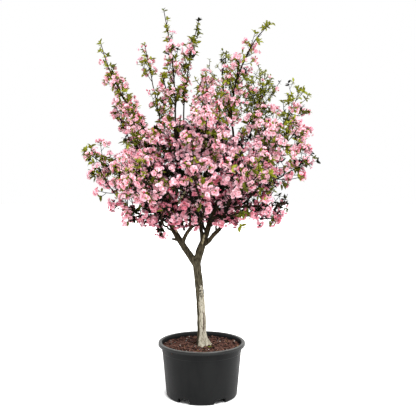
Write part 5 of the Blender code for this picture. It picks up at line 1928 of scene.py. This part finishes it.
def add_flowers(tip, way, kind, depth, rng):
    """A few flowers and buds on stalks, of one tone or the next."""
    turn = rng.uniform(0.0, math.tau)
    tone = flower_tone(tip, depth, rng)
    for index in range(rng.randint(*FLOWERS_EACH[kind])):
        out = side_way(way, turn + GOLDEN_TURN * index, rng.uniform(*CLUSTER_SPREAD))
        out = (out - UP * CLUSTER_SAG).normalized()
        end = tip + out * rng.uniform(*STALK_LENGTH)
        stalks.append((tip, end))
        face = (out + Vector([rng.gauss(0, FACE_SCATTER) for _ in range(3)])).normalized()
        own_tone = min(TONES - 1, max(0, tone + rng.choice(NEXT_TONES)))
        flowers[own_tone].append((end, face, rng.uniform(0, math.tau), rng.uniform(*FLOWER_WIDTH)))
    for _ in range(rng.randint(*BUDS_EACH)):
        out = side_way(way, rng.uniform(0, math.tau), rng.uniform(*BUD_SPREAD))
        end = tip + out * rng.uniform(*STALK_LENGTH)
        stalks.append((tip, end))
        buds.append((end, out, 0.0, rng.uniform(*BUD_LENGTH)))


flowers = {tone: [] for tone in range(TONES)}
buds, stalks = [], []

# %% A cluster for every spur
LEAVES_BY_BLOSSOM = (3, 6)
LEAVES_ALONE = (5, 8)
BLOSSOM_SCALE = {"blossom": 1.0, "slim": 1.25, "green": 1.0}
TIP_GREENING = {"blossom": 0.55, "slim": 0.40, "green": 0.5}
INNER_FROM = 0.62
INNER_FADE = 0.20
INNER_BLOSSOM_LOSS = 0.85
FAN_SHADE = -0.12


def dress_spur(tip, way, branch, share, rng):
    """The cluster of one spur: leaves, and flowers by the chance that its place gives."""
    kind, depth = kind_of(branch), depth_in_crown(tip)
    blossom = branch.blossom * BLOSSOM_SCALE[kind]
    inner = min(1.0, max(0.0, (depth - INNER_FROM) / INNER_FADE))
    blossom *= (1 - TIP_GREENING[kind] * share ** 3) * (1 - INNER_BLOSSOM_LOSS * inner)
    if share > SPIRE_TIPS.get(branch.name, (1.0, 1.0))[0]:
        blossom = 0.0
    tone = leaf_tone(tip, depth + (FAN_SHADE if kind == "green" else 0.0), rng)
    if rng.random() < blossom:
        add_flowers(tip, way, kind, depth, rng)
        add_leaves(tip, way, share, rng.randint(*LEAVES_BY_BLOSSOM), kind, tone, rng)
    else:
        add_leaves(tip, way, share, rng.randint(*LEAVES_ALONE), kind, tone, rng)


dress_rngs = {branch.name: random.Random("clusters " + branch.name) for branch in BRANCHES}
for spur in spurs:
    rng = dress_rngs[spur[2].name]
    if not is_kept_bare(spur[0], rng):
        dress_spur(*spur, rng)
spray_rng = random.Random("sprays")
for spray in sprays:
    dress_spur(*spray, spray_rng)
print("flowers:", [len(items) for items in flowers.values()], "buds:", len(buds),
      "leaves:", [len(items) for items in leaves.values()],
      "small leaves:", [len(items) for items in small_leaves.values()])

# %% From lists to joined meshes
def copies(unit, items):
    """A group of copies from items of place, way, roll and size."""
    places = np.array([item[0][:] for item in items]).reshape(-1, 3)
    ways = np.array([item[1][:] for item in items]).reshape(-1, 3)
    rolls = np.array([item[2] for item in items])
    sizes = np.array([[item[3]] * 3 for item in items]).reshape(-1, 3)
    return unit, places, turns_for(ways, rolls), sizes


def rods(unit, parts):
    """A group of rods from parts of start, end and radius."""
    starts = np.array([part[0][:] for part in parts])
    spans = np.array([(part[1] - part[0])[:] for part in parts])
    radii = np.array([part[2] for part in parts])
    lengths = np.linalg.norm(spans, axis=1)
    sizes = np.stack([radii, radii, lengths], axis=1)
    return unit, starts, turns_for(spans, np.zeros(len(parts))), sizes


# %% [markdown]
# ### Petals and leaves as finishes
# Deep and pale flowers stand in different parts of the crown: the pale pinks are painted light
# high up, the deep ones painted shade low and inside. Four plain pinks are dealt out cluster by
# cluster, each in a mesh of its own, so no image or colour map is needed. Within a petal the colour
# runs from a deeper throat to a paler rim by the value kept from the unit shape, and mottling makes
# no two flowers quite alike.

# %% Finishes of the foliage
# pale to deep pinks: lit and shaded copies, dealt out by height and depth
PETAL_TONES = (
    (paint(242, 174, 190), paint(253, 222, 230)),
    (paint(236, 152, 171), paint(251, 206, 217)),
    (paint(220, 120, 140), paint(244, 186, 199)),
    (paint(186, 76, 100), paint(229, 146, 165)),
)
BUD_DEEP = paint(176, 52, 82)
BUD_ROSE = paint(214, 96, 122)
# greens from lit yellow-green to near black: the darker ones are painted shade, dealt out by depth and
# height
LEAF_TONES = (
    (paint(104, 110, 18), paint(148, 152, 44)),
    (paint(64, 70, 10), paint(104, 110, 26)),
    (paint(8, 10, 2), paint(26, 30, 6)),
)
STALK_GREEN = paint(112, 96, 48)
STALK_RED = paint(112, 52, 44)
TUFT_YELLOW = paint(228, 196, 96)
TUFT_ORANGE = paint(196, 140, 60)
# near-black twigs: their own dark brown, darkened further as painted shade inside the crown
TWIG_DARK_AND_SHADE = paint(4, 3, 2)
TWIG_BROWN_AND_SHADE = paint(18, 13, 8)
VALUE_SHARE, CLOUD_SHARE = 0.75, 0.25
CLOUD_LIMITS = (0.3, 0.7)
SOFT_GLOSS_VARIES = (-0.1, 0.05)
SOFT_GRAIN = (900.0, 0.0003)


def soft_finish(name, deep, pale, value_name, roughness, patch_scale):
    """A petal or a leaf: deep to pale by the kept value, with mottling over it."""
    made, tree, shader, place = new_finish(name)
    value = put(tree, "ShaderNodeAttribute", attribute_name=value_name).outputs["Fac"]
    cloud = mottled(tree, place, patch_scale, *CLOUD_LIMITS)
    share = sum_of(tree, "MULTIPLY_ADD", value, VALUE_SHARE)
    tree.links.new(sum_of(tree, "MULTIPLY", cloud, CLOUD_SHARE), share.node.inputs[2])
    tree.links.new(blend_of(tree, share, deep, pale), shader.inputs["Base Color"])
    smooth, matt = [roughness + change for change in SOFT_GLOSS_VARIES]
    rough = put(tree, "ShaderNodeMapRange", {"Value": cloud, "To Min": smooth, "To Max": matt})
    tree.links.new(rough.outputs[0], shader.inputs["Roughness"])
    tree.links.new(relief(tree, place, *SOFT_GRAIN), shader.inputs["Normal"])
    return made


def foliage_piece(name, groups, material, value_name=None):
    """A piece of joined copies that stands for all the masses."""
    mesh = joined(name, groups, value_name)
    mesh.shade_smooth()
    return finish_piece(name, mesh, material, mass_nodes)


# %% Twigs and stalks
STALK_RADIUS = 0.0007

finish_piece("stems", stem_mesh, BARK, mass_nodes)
# the twig colours carry painted shade
twig_finish = speckled_finish("twig bark", TWIG_DARK_AND_SHADE, TWIG_BROWN_AND_SHADE,
                              scale=160.0, roughness=0.85, depth=0.0008)
foliage_piece("twigs", [rods(TWIG, segments)], twig_finish)
stalk_parts = [(start, end, STALK_RADIUS) for start, end in stalks]
stalk_finish = speckled_finish("flower stalk", STALK_RED, STALK_GREEN,
                               scale=90.0, roughness=0.7, depth=0.0003)
foliage_piece("flower_stalks", [rods(STALK, stalk_parts)], stalk_finish)

# %% Blossom
TUFT_FROM, TUFT_TO, TUFT_RADIUS = 0.02, 0.20, 0.055

for tone, items in flowers.items():
    groups = [copies(unit, items[index::len(FLOWERS)]) for index, unit in enumerate(FLOWERS)]
    finish = soft_finish(f"petals {tone + 1}", *PETAL_TONES[tone], "outwards",
                         roughness=0.6, patch_scale=45.0)
    foliage_piece(f"blossom_{tone + 1}", groups, finish, "outwards")
bud_finish = soft_finish("rose buds", BUD_DEEP, BUD_ROSE, "outwards",
                         roughness=0.55, patch_scale=60.0)
foliage_piece("buds", [copies(BUD, buds)], bud_finish, "outwards")
tufts = [(place + face * size * TUFT_FROM, place + face * size * TUFT_TO, size * TUFT_RADIUS)
         for items in flowers.values() for place, face, _, size in items]
tuft_finish = speckled_finish("flower tuft", TUFT_ORANGE, TUFT_YELLOW,
                              scale=900.0, roughness=0.8, depth=0.0003)
foliage_piece("flower_tufts", [rods(TUFT, tufts)], tuft_finish)

# %% Leaves
for tone, items in leaves.items():
    finish = soft_finish(f"leaves {tone + 1}", *LEAF_TONES[tone], "rib",
                         roughness=0.58, patch_scale=40.0)
    groups = [copies(LEAF, items), copies(SMALL_LEAF, small_leaves[tone])]
    foliage_piece(f"leaves_{tone + 1}", groups, finish, "rib")
